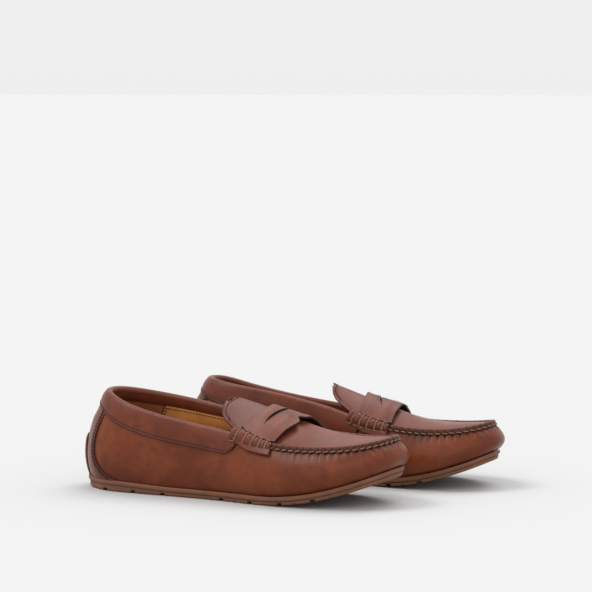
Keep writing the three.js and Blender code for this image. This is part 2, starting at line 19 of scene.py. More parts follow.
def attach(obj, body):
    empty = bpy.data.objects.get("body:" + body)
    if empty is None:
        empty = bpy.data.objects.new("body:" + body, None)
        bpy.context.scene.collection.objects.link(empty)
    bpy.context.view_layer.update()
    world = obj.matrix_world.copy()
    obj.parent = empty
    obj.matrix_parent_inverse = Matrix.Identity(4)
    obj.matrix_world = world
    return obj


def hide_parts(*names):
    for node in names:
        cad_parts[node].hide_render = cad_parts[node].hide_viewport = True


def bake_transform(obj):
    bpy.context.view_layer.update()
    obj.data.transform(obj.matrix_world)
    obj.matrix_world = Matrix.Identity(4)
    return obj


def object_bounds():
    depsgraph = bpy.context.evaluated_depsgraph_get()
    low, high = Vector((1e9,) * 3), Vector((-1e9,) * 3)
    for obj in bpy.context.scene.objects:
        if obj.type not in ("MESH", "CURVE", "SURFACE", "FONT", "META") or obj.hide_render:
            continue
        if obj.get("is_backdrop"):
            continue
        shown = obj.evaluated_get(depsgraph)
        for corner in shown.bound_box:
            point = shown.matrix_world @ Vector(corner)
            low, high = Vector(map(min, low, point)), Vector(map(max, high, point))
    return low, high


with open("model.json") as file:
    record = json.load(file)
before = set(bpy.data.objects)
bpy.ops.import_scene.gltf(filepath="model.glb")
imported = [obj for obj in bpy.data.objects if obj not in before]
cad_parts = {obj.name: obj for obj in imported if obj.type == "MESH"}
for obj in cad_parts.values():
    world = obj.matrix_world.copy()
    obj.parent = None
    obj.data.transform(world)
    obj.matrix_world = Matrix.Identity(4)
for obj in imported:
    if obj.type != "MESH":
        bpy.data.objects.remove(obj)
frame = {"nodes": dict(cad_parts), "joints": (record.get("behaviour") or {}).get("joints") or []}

cad_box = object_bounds()
joints = {joint["name"]: joint for joint in frame["joints"]}

# %% [markdown]
# ## Shader maths as Python
#
# A material is a graph of nodes. Written out node by node it is hard to read, so one small class
# wraps a socket: adding or multiplying two wrapped sockets adds the Math node that does it. A
# second helper makes every other kind of node from its type, its settings and its inputs.


# %% A wrapped socket and a material maker
class Value:
    """A number in a shader graph. Python's operators on it add Math nodes."""

    def __init__(self, graph, socket):
        self.graph, self.socket = graph, socket

    def math(self, operation, *others):
        return self.graph.node("ShaderNodeMath", {"operation": operation},
                               {i: other for i, other in enumerate((self, *others))})

    def __add__(self, other):
        return self.math("ADD", other)

    def __sub__(self, other):
        return self.math("SUBTRACT", other)

    def __mul__(self, other):
        return self.math("MULTIPLY", other)

    def __rsub__(self, other):
        return self.graph.node("ShaderNodeMath", {"operation": "SUBTRACT"}, {0: other, 1: self})

    def __rmul__(self, other):
        return self * other

    def __radd__(self, other):
        return self + other

    def smooth(self, low, high):
        """0 below low, 1 above high, and a soft step between them."""
        return self.graph.node("ShaderNodeMapRange", {"interpolation_type": "SMOOTHSTEP"},
                               {"Value": self, "From Min": low, "From Max": high})


class Graph:
    """A node tree with one shader at its end. Each method adds what a finish needs."""

    def __init__(self, tree, shader, place):
        self.tree, self.shader = tree, tree.nodes[shader]
        self.place = self.node("ShaderNodeTexCoord", {}, {}, place)

    def node(self, kind, settings, inputs, output=0):
        """Any node, from its type, its settings and the values or links of its sockets."""
        made = self.tree.nodes.new(kind)
        for setting, value in settings.items():
            if setting == "stops":
                elements = made.color_ramp.elements
                elements.remove(elements[1])
                elements[0].position, elements[0].color = value[0][0], (*[value[0][1]] * 3, 1)
                for position, level in value[1:]:
                    elements.new(position).color = (level, level, level, 1)
            else:
                setattr(made, setting, value)
        for socket, value in inputs.items():
            if isinstance(value, Value):
                self.tree.links.new(value.socket, made.inputs[socket])
            else:
                made.inputs[socket].default_value = value
        return Value(self, made.outputs[output])

    def feed(self, socket, value):
        self.tree.links.new(value.socket, self.shader.inputs[socket])

    def noise(self, scale, detail=3, roughness=0.5, distortion=0.0):
        return self.node("ShaderNodeTexNoise", {}, {
            "Vector": self.place, "Scale": scale, "Detail": detail,
            "Roughness": roughness, "Distortion": distortion})

    def cells(self, scale, randomness=1.0, feature="F1"):
        return self.node("ShaderNodeTexVoronoi", {"feature": feature}, {
            "Vector": self.place, "Scale": scale, "Randomness": randomness})

    def attribute(self, name):
        return self.node("ShaderNodeAttribute", {"attribute_name": name}, {}, "Fac")

    def mixed(self, share, first, second):
        """A colour between two colours."""
        as_colour = [c if isinstance(c, Value) else (*c, 1) for c in (first, second)]
        return self.node("ShaderNodeMix", {"data_type": "RGBA"},
                         {0: share, 6: as_colour[0], 7: as_colour[1]}, 2)

    def bump(self, height, distance, under=None):
        inputs = {"Height": height, "Distance": distance, "Strength": 1.0}
        if under is not None:
            inputs["Normal"] = under
        return self.node("ShaderNodeBump", {}, inputs)


class Finish(Graph):
    """A material. Its constants are set on the shader's sockets."""

    def __init__(self, name, **constants):
        self.material = bpy.data.materials.new(name)
        self.material.use_nodes = True
        super().__init__(self.material.node_tree, "Principled BSDF", "Object")
        for socket, value in constants.items():
            self.shader.inputs[socket.replace("_", " ")].default_value = value


def colour(red, green, blue):
    """A colour given as it looks on a screen, 0 to 255, as the linear light that shaders use."""
    return tuple(((c / 255 + 0.055) / 1.055) ** 2.4 if c > 10 else c / 255 / 12.92
                 for c in (red, green, blue))


print("colour(104, 55, 40) is", [round(c, 3) for c in colour(104, 55, 40)])

# %% [markdown]
# ## Leather
#
# Waxed full-grain leather is not one brown. Scans of a real hide could be wrapped round each piece,
# but they would show seams and hold good for one size only, so the hide is written as a small
# graph. Its tone drifts over a few centimetres, and it has a fine pore grain about a millimetre
# across. It is made darker along its edges and seams, partly as burnish and partly as painted shade
# in creases, grooves and valleys and under raised parts. The drift comes from noise, the grain from
# small cells turned into bump, and the darkening, burnish and painted shade alike, from an attribute
# called shade that each piece paints on its own vertices as it is made.


# %% The leathers
def leather(name, light, base, dark, grain=1.0, roughness=0.31):
    finish = Finish(name, Coat_Weight=0.05, Coat_Roughness=0.25, Coat_IOR=1.4,
                    Specular_IOR_Level=0.17)
    drift = finish.noise(34, 4, 0.55, 0.4)
    patch = finish.noise(150, 5, 0.6)
    tone = finish.mixed(drift.smooth(0.36, 0.66), base, light)
    tone = finish.mixed(patch.smooth(0.45, 0.75) * 0.30, tone, dark)
    # The shade attribute darkens the tone: burnish along edges and seams, and painted shade in creases,
    # grooves, valleys and under raised parts.
    shade = finish.attribute("shade")
    tone = finish.mixed(shade.smooth(0.0, 1.0), tone, dark)
    finish.feed("Base Color", tone)
    pores = finish.cells(1150, 1.0)
    creases = finish.cells(620, 1.0, "DISTANCE_TO_EDGE").smooth(0.0, 0.18)
    height = pores * 0.35 + creases * 0.45 + finish.noise(2600, 2) * 0.5
    finish.feed("Normal", finish.bump(height, 0.00006 * grain))
    finish.feed("Roughness", roughness + drift * 0.10 + shade * 0.10 - patch * 0.05)
    return finish.material


upper_leather = leather("waxed_upper_leather",
                        colour(112, 54, 29), colour(95, 43, 23), colour(54, 24, 16))
vamp_leather = leather("waxed_plug_leather",
                       colour(110, 54, 36), colour(96, 46, 30), colour(50, 24, 17), roughness=0.34)
trim_leather = leather("waxed_trim_leather",
                       colour(106, 52, 34), colour(92, 43, 28), colour(44, 21, 15), 0.8, 0.30)


def raw_edge():
    finish = Finish("inked_leather_edge", Roughness=0.62)
    fibre = finish.noise(900, 4, 0.6)
    finish.feed("Base Color", finish.mixed(fibre, colour(34, 19, 15), colour(66, 38, 29)))
    finish.feed("Normal", finish.bump(fibre, 0.0001))
    return finish.material


edge_ink = raw_edge()
print("leathers", upper_leather.name, trim_leather.name, edge_ink.name)

# %% [markdown]
# ## Linings, rubber and threads
#
# The lining is a matt tan leather with a barely visible grain, and the heel lining is the same hide
# turned suede side out, so it is darker and has a nap. The sole is moulded gum rubber: an even tone
# with faint clouding and a very fine mould texture. Threads are twisted, which shows as a stripe
# that runs round each stitch.


# %% Lining, suede, rubber, thread and the hidden boards
def lining_leather():
    finish = Finish("tan_lining_leather", Specular_IOR_Level=0.3)
    cloud = finish.noise(60, 4)
    tone = finish.mixed(cloud.smooth(0.3, 0.7), colour(176, 116, 58), colour(196, 134, 74))
    # The shade attribute takes the tan to dark brown: painted shade under the collar, along the lining
    # strip's sewn edge and round the footbed's rim.
    finish.feed("Base Color", finish.mixed(finish.attribute("shade"), tone, colour(110, 66, 32)))
    grain = finish.cells(1300) * 0.5 + finish.noise(2400, 3) * 0.5
    finish.feed("Normal", finish.bump(grain, 0.00005))
    finish.feed("Roughness", 0.52 + cloud * 0.12)
    return finish.material


def suede():
    finish = Finish("brown_suede_lining", Specular_IOR_Level=0.15,
                    Sheen_Weight=0.35, Sheen_Roughness=0.4)
    brushed = finish.noise(90, 5, 0.65, 1.2)
    nap = finish.noise(3000, 3, 0.7)
    tone = finish.mixed(brushed.smooth(0.3, 0.7), colour(128, 74, 40), colour(150, 90, 52))
    tone = finish.mixed(nap * 0.35, tone, colour(92, 50, 27))
    finish.feed("Base Color", finish.mixed(finish.attribute("shade"), tone, colour(196, 134, 74)))
    finish.feed("Normal", finish.bump(nap, 0.00012))
    finish.feed("Roughness", 0.85 + brushed * 0.1)
    return finish.material


def gum_rubber():
    finish = Finish("moulded_gum_rubber", Specular_IOR_Level=0.4)
    cloud = finish.noise(45, 3)
    speck = finish.noise(2200, 2)
    tone = finish.mixed(cloud.smooth(0.3, 0.7), colour(104, 64, 42), colour(120, 75, 50))
    tone = finish.mixed(speck.smooth(0.55, 0.8) * 0.25, tone, colour(88, 52, 34))
    # The shade attribute takes the rubber to dark brown: painted shadow under the step of the edge and
    # painted shade in the grooves.
    finish.feed("Base Color", finish.mixed(finish.attribute("shade"), tone, colour(46, 27, 19)))
    finish.feed("Normal", finish.bump(speck, 0.00006))
    finish.feed("Roughness", 0.50 + cloud * 0.16)
    return finish.material


def thread(name, light, dark):
    finish = Finish(name, Roughness=0.6, Specular_IOR_Level=0.3)
    strand = finish.noise(1700, 3, 0.6)
    finish.feed("Base Color", finish.mixed(strand.smooth(0.3, 0.7), dark, light))
    finish.feed("Normal", finish.bump(strand, 0.0001))
    return finish.material


def board(name, light, dark, scale):
    finish = Finish(name, Roughness=0.9)
    fibre = finish.noise(scale, 6, 0.7)
    finish.feed("Base Color", finish.mixed(fibre.smooth(0.35, 0.65), dark, light))
    finish.feed("Normal", finish.bump(fibre, 0.0002))
    return finish.material


tan_lining = lining_leather()
heel_suede = suede()
rubber = gum_rubber()
tan_thread = thread("tan_waxed_thread", colour(142, 110, 82), colour(78, 55, 40))
dark_thread = thread("dark_waxed_thread", colour(44, 27, 20), colour(20, 12, 10))
insole_board = board("insole_fibre_board", colour(150, 126, 94), colour(124, 100, 72), 700)
stiffener_board = board("stiffener_board", colour(205, 197, 180), colour(180, 170, 150), 500)

for name, node in frame["nodes"].items():
    if "insole_board" in name:
        node.data.materials.clear()
        node.data.materials.append(insole_board)
    if "toe_puff" in name:
        node.data.materials.clear()
        node.data.materials.append(stiffener_board)
print("materials", len(bpy.data.materials))

# %% [markdown]
# ## The last
#
# Shoes are made on a last, so every piece here is drawn on one surface too. Two families of curves
# describe it, in millimetres from the heel: the side wall, which leans out from the sole to its
# widest point and in again to the top edge, and the plug, the saddle-shaped sheet that closes the
# top. A piece is then only a pair of limits on one of these surfaces and a distance off it.

# %% Sizes of the shoe, in millimetres
sole_rim = 1.5           # how far the sole stands out past the upper
rim_depth = 3.2          # height of the upper band of the sole's edge
rim_step = 1.2           # how far the lower band is set back
tread_inset = 2.2
heel_edge, fore_edge = 8.4, 6.6
toe_spring = 22
flex_place = 180
collar_radius = 2.8
strap_rear, strap_front = 144, 170.5
strap_skew, strap_reach = 0.13, 31
slot_place, slot_half, slot_bow, slot_skew = 153.5, 15, 2.5, 0.17
stitch_pitch = 5.2       # of the moccasin seam

heel_station = ((5.5, 0), (2.5, 0, 37), (18.5, 0, 73))
toe_station = ((246, 5), (250.5, 5, 36), (243, 4, 45.5))
outer_stations = [
    ((11.5, -15), (11, -17.5, 36), (25, -14, 71)),
    ((28, -26), (27, -30, 33), (45, -23, 64.5)),
    ((60, -29), (60, -33, 29), (73, -27.5, 58)),
    ((95, -30), (95, -34.5, 27), (100, -29.5, 53.3)),
    ((127, -33.5), (127, -38.5, 24), (131, -31.5, 49)),
    ((158, -39), (158, -43.5, 22), (158, -34.5, 41)),
    ((190, -40.5), (191, -45, 23), (188, -35, 39)),
    ((218, -33), (221, -37.5, 28), (216, -30.5, 40)),
    ((238, -18.5), (243, -21, 33), (235, -19, 43)),
]
inner_stations = [
    ((10, 16), (7.5, 19, 36), (25, 13, 72.5)),
    ((28, 24), (27, 28, 34), (46, 20, 69.5)),
    ((60, 23.5), (60, 28, 32), (73, 22, 65.3)),
    ((95, 19.5), (95, 25, 30), (98, 22.5, 60.3)),
    ((125, 22), (125, 29, 27), (131, 26.5, 53.5)),
    ((155, 32), (156, 37.5, 23), (158, 32, 45)),
    ((187, 38), (189, 43, 22), (190, 34.5, 41)),
    ((216, 35), (219, 40, 26), (216, 31, 41)),
    ((237, 23), (242, 25.5, 32), (235, 21, 43.5)),
]
stations = [heel_station, *outer_stations, toe_station, *inner_stations[::-1]]
step = 1 / len(stations)
plug_tip = (116.5, -2.5, 68.6)
plug_outer_rear = [(116, -12, 65.2), (119.5, -20, 58.8), (129, -26.3, 53.3), (138, -29.5, 49)]
plug_inner_rear = [(119, 7.5, 67), (123.5, 16, 62.3), (133, 22.5, 57), (143, 27, 51.8)]
crest_points = [(116.5, 68.6), (122, 68.3), (139, 63.4), (150, 60.0), (160, 57.5), (168, 55),
                (178, 51.3), (190, 47.6), (205, 45.8), (220, 46), (243, 47.6)]
crest_share = 0.62       # where across the plug its crest lies, nearer the inner side


# %% Curves through the stations
def smooth(low, high, value):
    share = np.clip((value - low) / (high - low), 0, 1)
    return share * share * (3 - 2 * share)


def mix(first, second, share):
    return first + (second - first) * share


def hump(distance, width):
    """1 where the distance is 0, fading out over a width on both sides."""
    return np.exp(-(distance / width) ** 2)


def unit(vectors):
    return vectors / np.linalg.norm(vectors, axis=-1, keepdims=True)


def through(points, place, closed=True):
    """Points of a smooth curve through the given ones, at places from 0 to 1."""
    points = np.asarray(points, float)
    spans = len(points) if closed else len(points) - 1
    at = (np.mod(place, 1) if closed else np.clip(place, 0, 1)) * spans
    span = np.minimum(at.astype(int), spans - 1)
    if closed:
        a, b, c, d = (points[(span + k) % len(points)] for k in (-1, 0, 1, 2))
    else:
        longer = np.vstack([2 * points[0] - points[1], points, 2 * points[-1] - points[-2]])
        a, b, c, d = (longer[span + k] for k in range(4))
    t = (at - span)[:, None]
    return (2 * b + (c - a) * t + (2 * a - 5 * b + 4 * c - d) * t ** 2
            + (3 * b - a - 3 * c + d) * t ** 3) / 2


def softened_loop(points, width):
    """A closed curve as a function, with its small changes of bend smoothed over a few samples."""
    samples = 2400
    place = np.arange(samples) / samples
    curve = through(points, place)
    spread = np.minimum(place, 1 - place) / width
    kernel = np.fft.fft(np.exp(-spread ** 2 / 2))
    blurred = np.fft.fft(curve, axis=0) * (kernel / kernel[0])[:, None]
    curve = np.real(np.fft.ifft(blurred, axis=0))
    longer = np.vstack([curve, curve[:1]])
    knots = np.arange(samples + 1) / samples
    return lambda u: np.stack([np.interp(np.mod(u, 1), knots, longer[:, k]) for k in range(3)], axis=1)


def tread(x):
    """Height of the tread above the ground, with a small bevel at the heel and the toe spring."""
    return 3 * np.maximum(0, 1 - x / 12) ** 2 + toe_spring * np.maximum(0, (x - 155) / 94) ** 2


def feather(x):
    """Height of the line where the upper meets the sole."""
    return tread(x) + mix(heel_edge, fore_edge, smooth(30, 90, x))


softening = 0.22 * step
foot_line = softened_loop([(x, y, feather(x)) for (x, y), _, _ in stations], softening)
belly_line = softened_loop([belly for _, belly, _ in stations], softening)
top_line = softened_loop([top for _, _, top in stations], softening)


def foot_out(u, small=0.002):
    """The level direction out from the foot line."""
    tangent = foot_line(u + small) - foot_line(u - small)
    return unit(np.stack([tangent[:, 1], -tangent[:, 0], 0 * u], axis=1))


def spine(x):
    """The middle line of the sole, from heel to toe."""
    return np.stack([x, np.interp(x, [0, 95, 190, 250], [0, -4, -1, 5]), 0 * x], axis=1)


print("the foot line is", round(float(np.ptp(foot_line(np.linspace(0, 1, 400))[:, 0])), 1), "mm long")


# %% The two surfaces
def wall_surface(u, t):
    """The side wall: a bow from the foot line through the belly line to the top line."""
    foot, belly, top = foot_line(u), belly_line(u), top_line(u)
    t = t[:, None]
    return foot * (1 - t) ** 2 + (2 * belly - (foot + top) / 2) * 2 * t * (1 - t) + top * t ** 2


def wall_frame(u, t, small=0.002):
    """The wall's outward and upward directions."""
    around = wall_surface(u + small, t) - wall_surface(u - small, t)
    up = unit(wall_surface(u, t + small) - wall_surface(u, t - small))
    return unit(np.cross(around, up)), up


def as_arrays(*values):
    """Numbers and arrays brought to one length."""
    return np.broadcast_arrays(*(np.asarray(value, float) for value in values))


def wall(u, t, off):
    """A point off the side wall: u runs round the shoe, t up the wall, off outwards."""
    u, t, off = as_arrays(u, t, off)
    return wall_surface(u, t) + wall_frame(u, t)[0] * off[:, None]


def rim_out(u, rise=0.0):
    """The direction out from the wall's top edge, level or tilted upwards by a rise."""
    out, _ = wall_frame(u, np.ones_like(u))
    return unit(np.stack([out[:, 0], out[:, 1], rise + 0 * u], axis=1))


rim_points = [plug_tip, *plug_outer_rear, *[top for _, _, top in outer_stations[5:]],
              toe_station[2], *[top for _, _, top in inner_stations[:4:-1]], *plug_inner_rear[::-1]]
plug_rim = softened_loop(rim_points, 0.25 / len(rim_points))
crest_line = through([(x, 0, z) for x, z in crest_points], np.linspace(0, 1, 300), False)


def plug_surface(w, v):
    """The plug: straight from rim to rim, then raised so that its crest follows the crest line."""
    outer, inner = plug_rim(w / 2), plug_rim(-w / 2)
    point = mix(outer, inner, v[:, None])
    middle = (outer + inner) / 2
    rise = np.interp(middle[:, 0], crest_line[:, 0], crest_line[:, 2]) - middle[:, 2]
    beside = np.where(v < crest_share, 1 - v / crest_share, (v - crest_share) / (1 - crest_share))
    point[:, 2] += rise * (1 - beside ** mix(1.35, 2.2, smooth(175, 200, point[:, 0])))
    return point


def plug(w, v, off):
    """A point off the plug: w runs from the tongue's tip to the toe, v from outer to inner side."""
    w, v, off = as_arrays(w, v, off)
    small = 0.004
    forward = plug_surface(np.minimum(1, w + small), v) - plug_surface(np.maximum(0, w - small), v)
    across = plug_surface(w, v + small) - plug_surface(w, v - small)
    return plug_surface(w, v) + unit(np.cross(forward, across)) * off[:, None]


share_samples = np.linspace(0, 1, 800)
middle_x = (plug_rim(share_samples / 2) + plug_rim(-share_samples / 2))[:, 0] / 2


def skewed(x, v):
    """The share w at a place along the crest, on a line that runs forward towards the inner side."""
    return np.interp(x + strap_skew * strap_reach * (2 * v - 1), middle_x, share_samples)


turn_samples = np.linspace(0, 0.5, 1200)
top_places = {side: top_line(side * turn_samples)[:, 0] for side in (1, -1)}


def wall_turn(x, side):
    """The turn u at which the wall's top reaches a place along the outer (1) or inner (-1) side."""
    return side * np.interp(x, top_places[side], turn_samples)


def run_along(path):
    """The distance walked along a path, at each of its points."""
    return np.concatenate([[0], np.cumsum(np.linalg.norm(np.diff(path, axis=0), axis=1))])


seam_places = np.linspace(0, 1, 2401)
seam_length = run_along(top_line(seam_places))


def along_seam(u):
    """Distance along the top line, so that stitches and puckers keep one pitch."""
    return np.interp(np.mod(u, 1), seam_places, seam_length)


print("the top line is", round(seam_length[-1]), "mm round")

# %% [markdown]
# ## From a sheet to a piece on both shoes
#
# Most pieces are sheets. Each starts as Blender's own flat grid of quads, whose points are moved to
# their places by a function of their two shares along and across. Solidify and Bevel modifiers then
# give the leather its thickness and its cut edge. A piece is drawn once, for the right shoe, and
# put in place on both: the left shoe's matrix mirrors it, so its faces are turned back outwards.


# %% Placing a piece on each shoe
def placement(side):
    """From millimetres of the right shoe to metres in the frame, for either shoe."""
    bend = joints[f"{side}_forefoot_flex"]
    turn = Matrix.Rotation(math.atan2(bend["axis"][0], -bend["axis"][1]), 4, "Z")
    hinge = Vector((flex_place, 0, float(feather(flex_place)) - 0.3)) / 1000
    place = Matrix.Translation(Vector(bend["pos_m"]) - turn @ hinge) @ turn
    mirror = 1 if side == "right" else -1
    return place @ Matrix.Diagonal((0.001, 0.001 * mirror, 0.001, 1))


shoes = {side: placement(side) for side in ("right", "left")}


def grid(columns, rows, place, shade=None, closed=False):
    """A sheet of quads whose points are place(a, b), with a and b from 0 to 1."""
    sheet = bmesh.new()
    bmesh.ops.create_grid(sheet, x_segments=columns, y_segments=rows, size=0.5)
    shares = np.array([vert.co[:2] for vert in sheet.verts]) + 0.5
    a, b = np.clip(shares[:, 0], 0, 1), np.clip(shares[:, 1], 0, 1)
    layer = sheet.verts.layers.float.new("shade")
    dark = np.zeros(len(a)) if shade is None else np.clip(shade(a, b), 0, 1)
    for vert, point, value in zip(sheet.verts, place(a, b), dark):
        vert.co = point
        vert[layer] = value
    if closed:
        bmesh.ops.remove_doubles(sheet, verts=sheet.verts[:], dist=0.02)
        bmesh.ops.recalc_face_normals(sheet, faces=sheet.faces[:])
    return sheet


def joined(*sheets):
    """Several meshes as one, each as it is."""
    whole = bmesh.new()
    for sheet in sheets:
        part = bpy.data.meshes.new("part")
        sheet.to_mesh(part)
        whole.from_mesh(part)
        sheet.free()
        bpy.data.meshes.remove(part)
    return whole


def piece(name, sheet, materials, body="shoe", stands_for=(), bends=None,
          thickness=0, edge=0):
    """The finished piece on both shoes. A piece given bends, as (other body, start x, end x), is fixed
    where it is drawn and attached to no body.
    """
    for side, place in shoes.items():
        mesh = bpy.data.meshes.new(f"{side}_{name}")
        copy = sheet.copy()
        copy.transform(place)
        if side == "left":
            bmesh.ops.reverse_faces(copy, faces=copy.faces[:])
        copy.to_mesh(mesh)
        copy.free()
        mesh.polygons.foreach_set("use_smooth", [True] * len(mesh.polygons))
        obj = bpy.data.objects.new(f"{side}_{name}", mesh)
        bpy.context.scene.collection.objects.link(obj)
        for material in materials:
            mesh.materials.append(material)
        if thickness:
            shell = obj.modifiers.new("thickness", "SOLIDIFY")
            shell.thickness, shell.offset = thickness / 1000, -1
            shell.use_even_offset = False
            if len(materials) > 1:
                shell.material_offset_rim = 1
        if edge:
            bevel = obj.modifiers.new("edge", "BEVEL")
            bevel.width, bevel.segments, bevel.profile = edge / 1000, 2, 0.5
            bevel.limit_method, bevel.angle_limit = "ANGLE", math.radians(50)
            bevel.use_clamp_overlap = True
        if bends:
            second, start, end = bends
            ends = [place @ Vector((x, 0, float(feather(flex_place)))) for x in (start, end)]
            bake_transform(obj)
        else:
            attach(obj, f"{side}_{body}")
        if stands_for:
            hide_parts(*(f"{side}_{node}" for node in stands_for))
    print(name, len(sheet.faces), "faces before its modifiers")
    sheet.free()


flexes = ("forefoot", 168, 196)          # a body and a span at the ball of the foot, given to pieces as bends
print("the left shoe is turned", round(math.degrees(shoes["left"].to_euler().z), 1), "degrees")

# %% [markdown]
# ## Stitches
#
# A stitch is a short length of thread that dives into the leather at both ends. Hundreds of them
# make a row, so each is only a small ball of a few dozen faces, stretched along the row. Walking
# the row by its length keeps the pitch even round bends.


# %% Rows of stitches and runs of thread
def at_shares(place, knots, path):
    """Points of a path at places between its knots."""
    return np.stack([np.interp(place, knots, path[:, k]) for k in range(3)], axis=-1)


def stitch_row(path, out, pitch=2.6, length=1.9, width=0.9, lift=0.0, tilt=0.0):
    """Small stitches along a path of points, each with its outward direction."""
    run = run_along(path)
    row = bmesh.new()
    count = max(1, round(run[-1] / pitch))
    for number in range(count):
        at = (number + 0.5) * run[-1] / count
        behind, centre, ahead = (at_shares(at + k, run, path) for k in (-0.4, 0, 0.4))
        normal = unit(at_shares(at, run, out))
        forward = unit(ahead - behind)
        side = unit(np.cross(normal, forward))
        forward = unit(forward + side * math.tan(math.radians(tilt)))
        side = unit(np.cross(normal, forward))
        spot = centre + normal * lift
        axes = forward * length / 2, side * width / 2, normal * width / 2, spot
        shape = Matrix([[float(axis[k]) for axis in axes] for k in range(3)] + [[0, 0, 0, 1]])
        bmesh.ops.create_uvsphere(row, u_segments=6, v_segments=5, radius=1,
                                  matrix=shape @ Matrix.Rotation(math.pi / 2, 4, "Y"))
    return row


def thread_run(path, radius, sides=7):
    """A round thread along a path, thinned to a small ring at both ends."""
    path = np.asarray(path, float)
    knots = np.linspace(0, 1, len(path))

    def place(a, b):
        behind, centre, ahead = (at_shares(a + k, knots, path) for k in (-0.02, 0, 0.02))
        forward = unit(ahead - behind)
        first = unit(np.cross(forward, np.array([0.31, 0.22, 0.92])))
        second = np.cross(forward, first)
        angle = 2 * np.pi * b
        thin = np.clip(np.minimum(a, 1 - a) * 12, 0.02, 1) ** 0.5
        round_it = first * np.cos(angle)[:, None] + second * np.sin(angle)[:, None]
        return centre + round_it * (radius * thin)[:, None]

    return grid(len(path) * 2, sides, place, closed=True)


def wall_path(u, t, off):
    """Points and outward directions along the side wall, for a row of stitches."""
    u, t, off = as_arrays(u, t, off)
    return wall(u, t, off), wall_frame(u, t)[0]


def plug_path(w, v, off):
    """The same on the plug."""
    w, v, off = as_arrays(w, v, off)
    path = plug(w, v, off)
    return path, unit(plug(w, v, off + 1) - path)


# %% [markdown]
# ## The sole
#
# The sole is one rubber moulding. It could be a flat outline extruded downwards, but its edge has
# two bands with a small step between them, the toe springs up, and cross grooves are cut through
# the tread so that it bends. So one grid makes it: one way it runs round the outline, the other way
# it follows the section of the edge, from the middle of the top face, over the edge, to the middle
# of the bottom.

# %% The sole's section and grooves
groove_width, groove_depth, groove_pitch, first_groove = 3.2, 1.8, 24.5, 27
waist = 3                # the groove that is left out, where the arch stiffens the sole
grooves = [first_groove + i * groove_pitch for i in range(8) if i != waist]
notch_width, notch_depth = 1.8, 0.9
small_notches = [first_groove + (i + 0.5) * groove_pitch for i in range(waist + 1, 8)]
sole_rows = [  # inset from the rim, share of the way down to the tread, height added
    (9.0, 0, 0.0), (1.2, 0, 0.0), (0.55, 0, -0.06), (0.15, 0, -0.35), (0.0, 0, -0.9), (0.0, 0, -1.7),
    (0.05, 0, -rim_depth + 0.7), (0.35, 0, -rim_depth + 0.15), (rim_step, 0, -rim_depth - 0.1),
    (rim_step + 0.25, 0, -rim_depth - 0.35), (rim_step, 0, -rim_depth - 0.75),
    (rim_step - 0.1, 0.5, -0.8), (rim_step, 1, 1.85), (rim_step + 0.05, 1, 1.2),
    (rim_step + 0.35, 1, 0.55), (tread_inset - 0.2, 1, 0.12), (tread_inset + 0.6, 1, 0.0),
]
step_rows = (8, 10)      # the rows in the shadow of the step
groove_row = 12          # the first row that a groove cuts
bottom_rows = 7
sole_bands = len(sole_rows) + bottom_rows


def heel_flare(u):
    """How much further the sole stands out round the back of the heel."""
    near = np.minimum(np.mod(u, 1), np.mod(-u, 1))
    return 2.0 * (1 - smooth(0.033, 0.073, near))


def sole_row(b):
    return np.clip(np.rint(b * sole_bands).astype(int) - 1, -1, sole_bands)


def sole_point(a, b):
    row = sole_row(b)
    inset, share_down, added = np.array(sole_rows)[np.clip(row, 0, len(sole_rows) - 1)].T
    point = foot_line(a) + foot_out(a) * (sole_rim + heel_flare(a) - inset)[:, None]
    inward = np.clip((row - len(sole_rows) + 1) / bottom_rows, 0, 1)
    inward[row < 0] = 1
    flat = mix(point, spine(np.rint(np.clip(point[:, 0], 22, 232))), inward[:, None])
    x = flat[:, 0]
    top, low = feather(x) - 0.3, tread(x)
    z = np.where(row < 0, top, mix(top, low, share_down) + added)
    for place in grooves:
        cut = (np.abs(x - place) < groove_width / 2) & (row >= groove_row)
        z = np.where(cut, np.maximum(z, low + groove_depth), z)
    for place in small_notches:
        cut = (np.abs(x - place) < notch_width / 2) & (row > groove_row) & (inward < 0.2)
        z = np.where(cut, np.maximum(z, low + notch_depth), z)
    return np.stack([flat[:, 0], flat[:, 1], z], axis=1)


def sole_shade(a, b):
    row, x = sole_row(b), foot_line(a)[:, 0]
    # Painted shadow on the rows under the step, and painted shade in the grooves.
    dark = np.where((row >= step_rows[0]) & (row <= step_rows[1]), 0.35, 0.0)
    for place in grooves:
        dark = np.where((np.abs(x - place) < 2) & (row >= groove_row), 0.8, dark)
    return dark


piece("sole", grid(1200, sole_bands, sole_point, sole_shade, closed=True), [rubber],
      stands_for=("outsole_rear", "outsole_front"), bends=flexes)

# %% [markdown]
# The moulding climbs the back of the heel as a thin tab, which protects the leather when the foot
# works a pedal. Cross ribs give it grip. The ribs could be separate bars laid on the tab, but they
# are moulded in one with it, so the sheet itself rises and falls.

# %% The heel tab
tab_half = 0.66 * step
tab_seat = 1.35          # off the wall, over the heel strap
rib_count = 6.5


def tab_point(a, b):
    u = mix(-tab_half, tab_half, a)
    t = mix(-0.06, 0.52 - 0.08 * (2 * a - 1) ** 4, b)
    edge = np.minimum(np.minimum(a, 1 - a) * 14, (1 - b) * 20)
    ribs = 0.45 * smooth(-0.3, 0.3, np.cos(2 * np.pi * b * rib_count)) * smooth(1, 3, edge)
    return wall(u, t, tab_seat + 0.9 + 0.8 * np.clip(edge, 0, 1) ** 0.5 - ribs)


piece("heel_tab", grid(48, 90, tab_point), [rubber], thickness=1.3, edge=0.25)

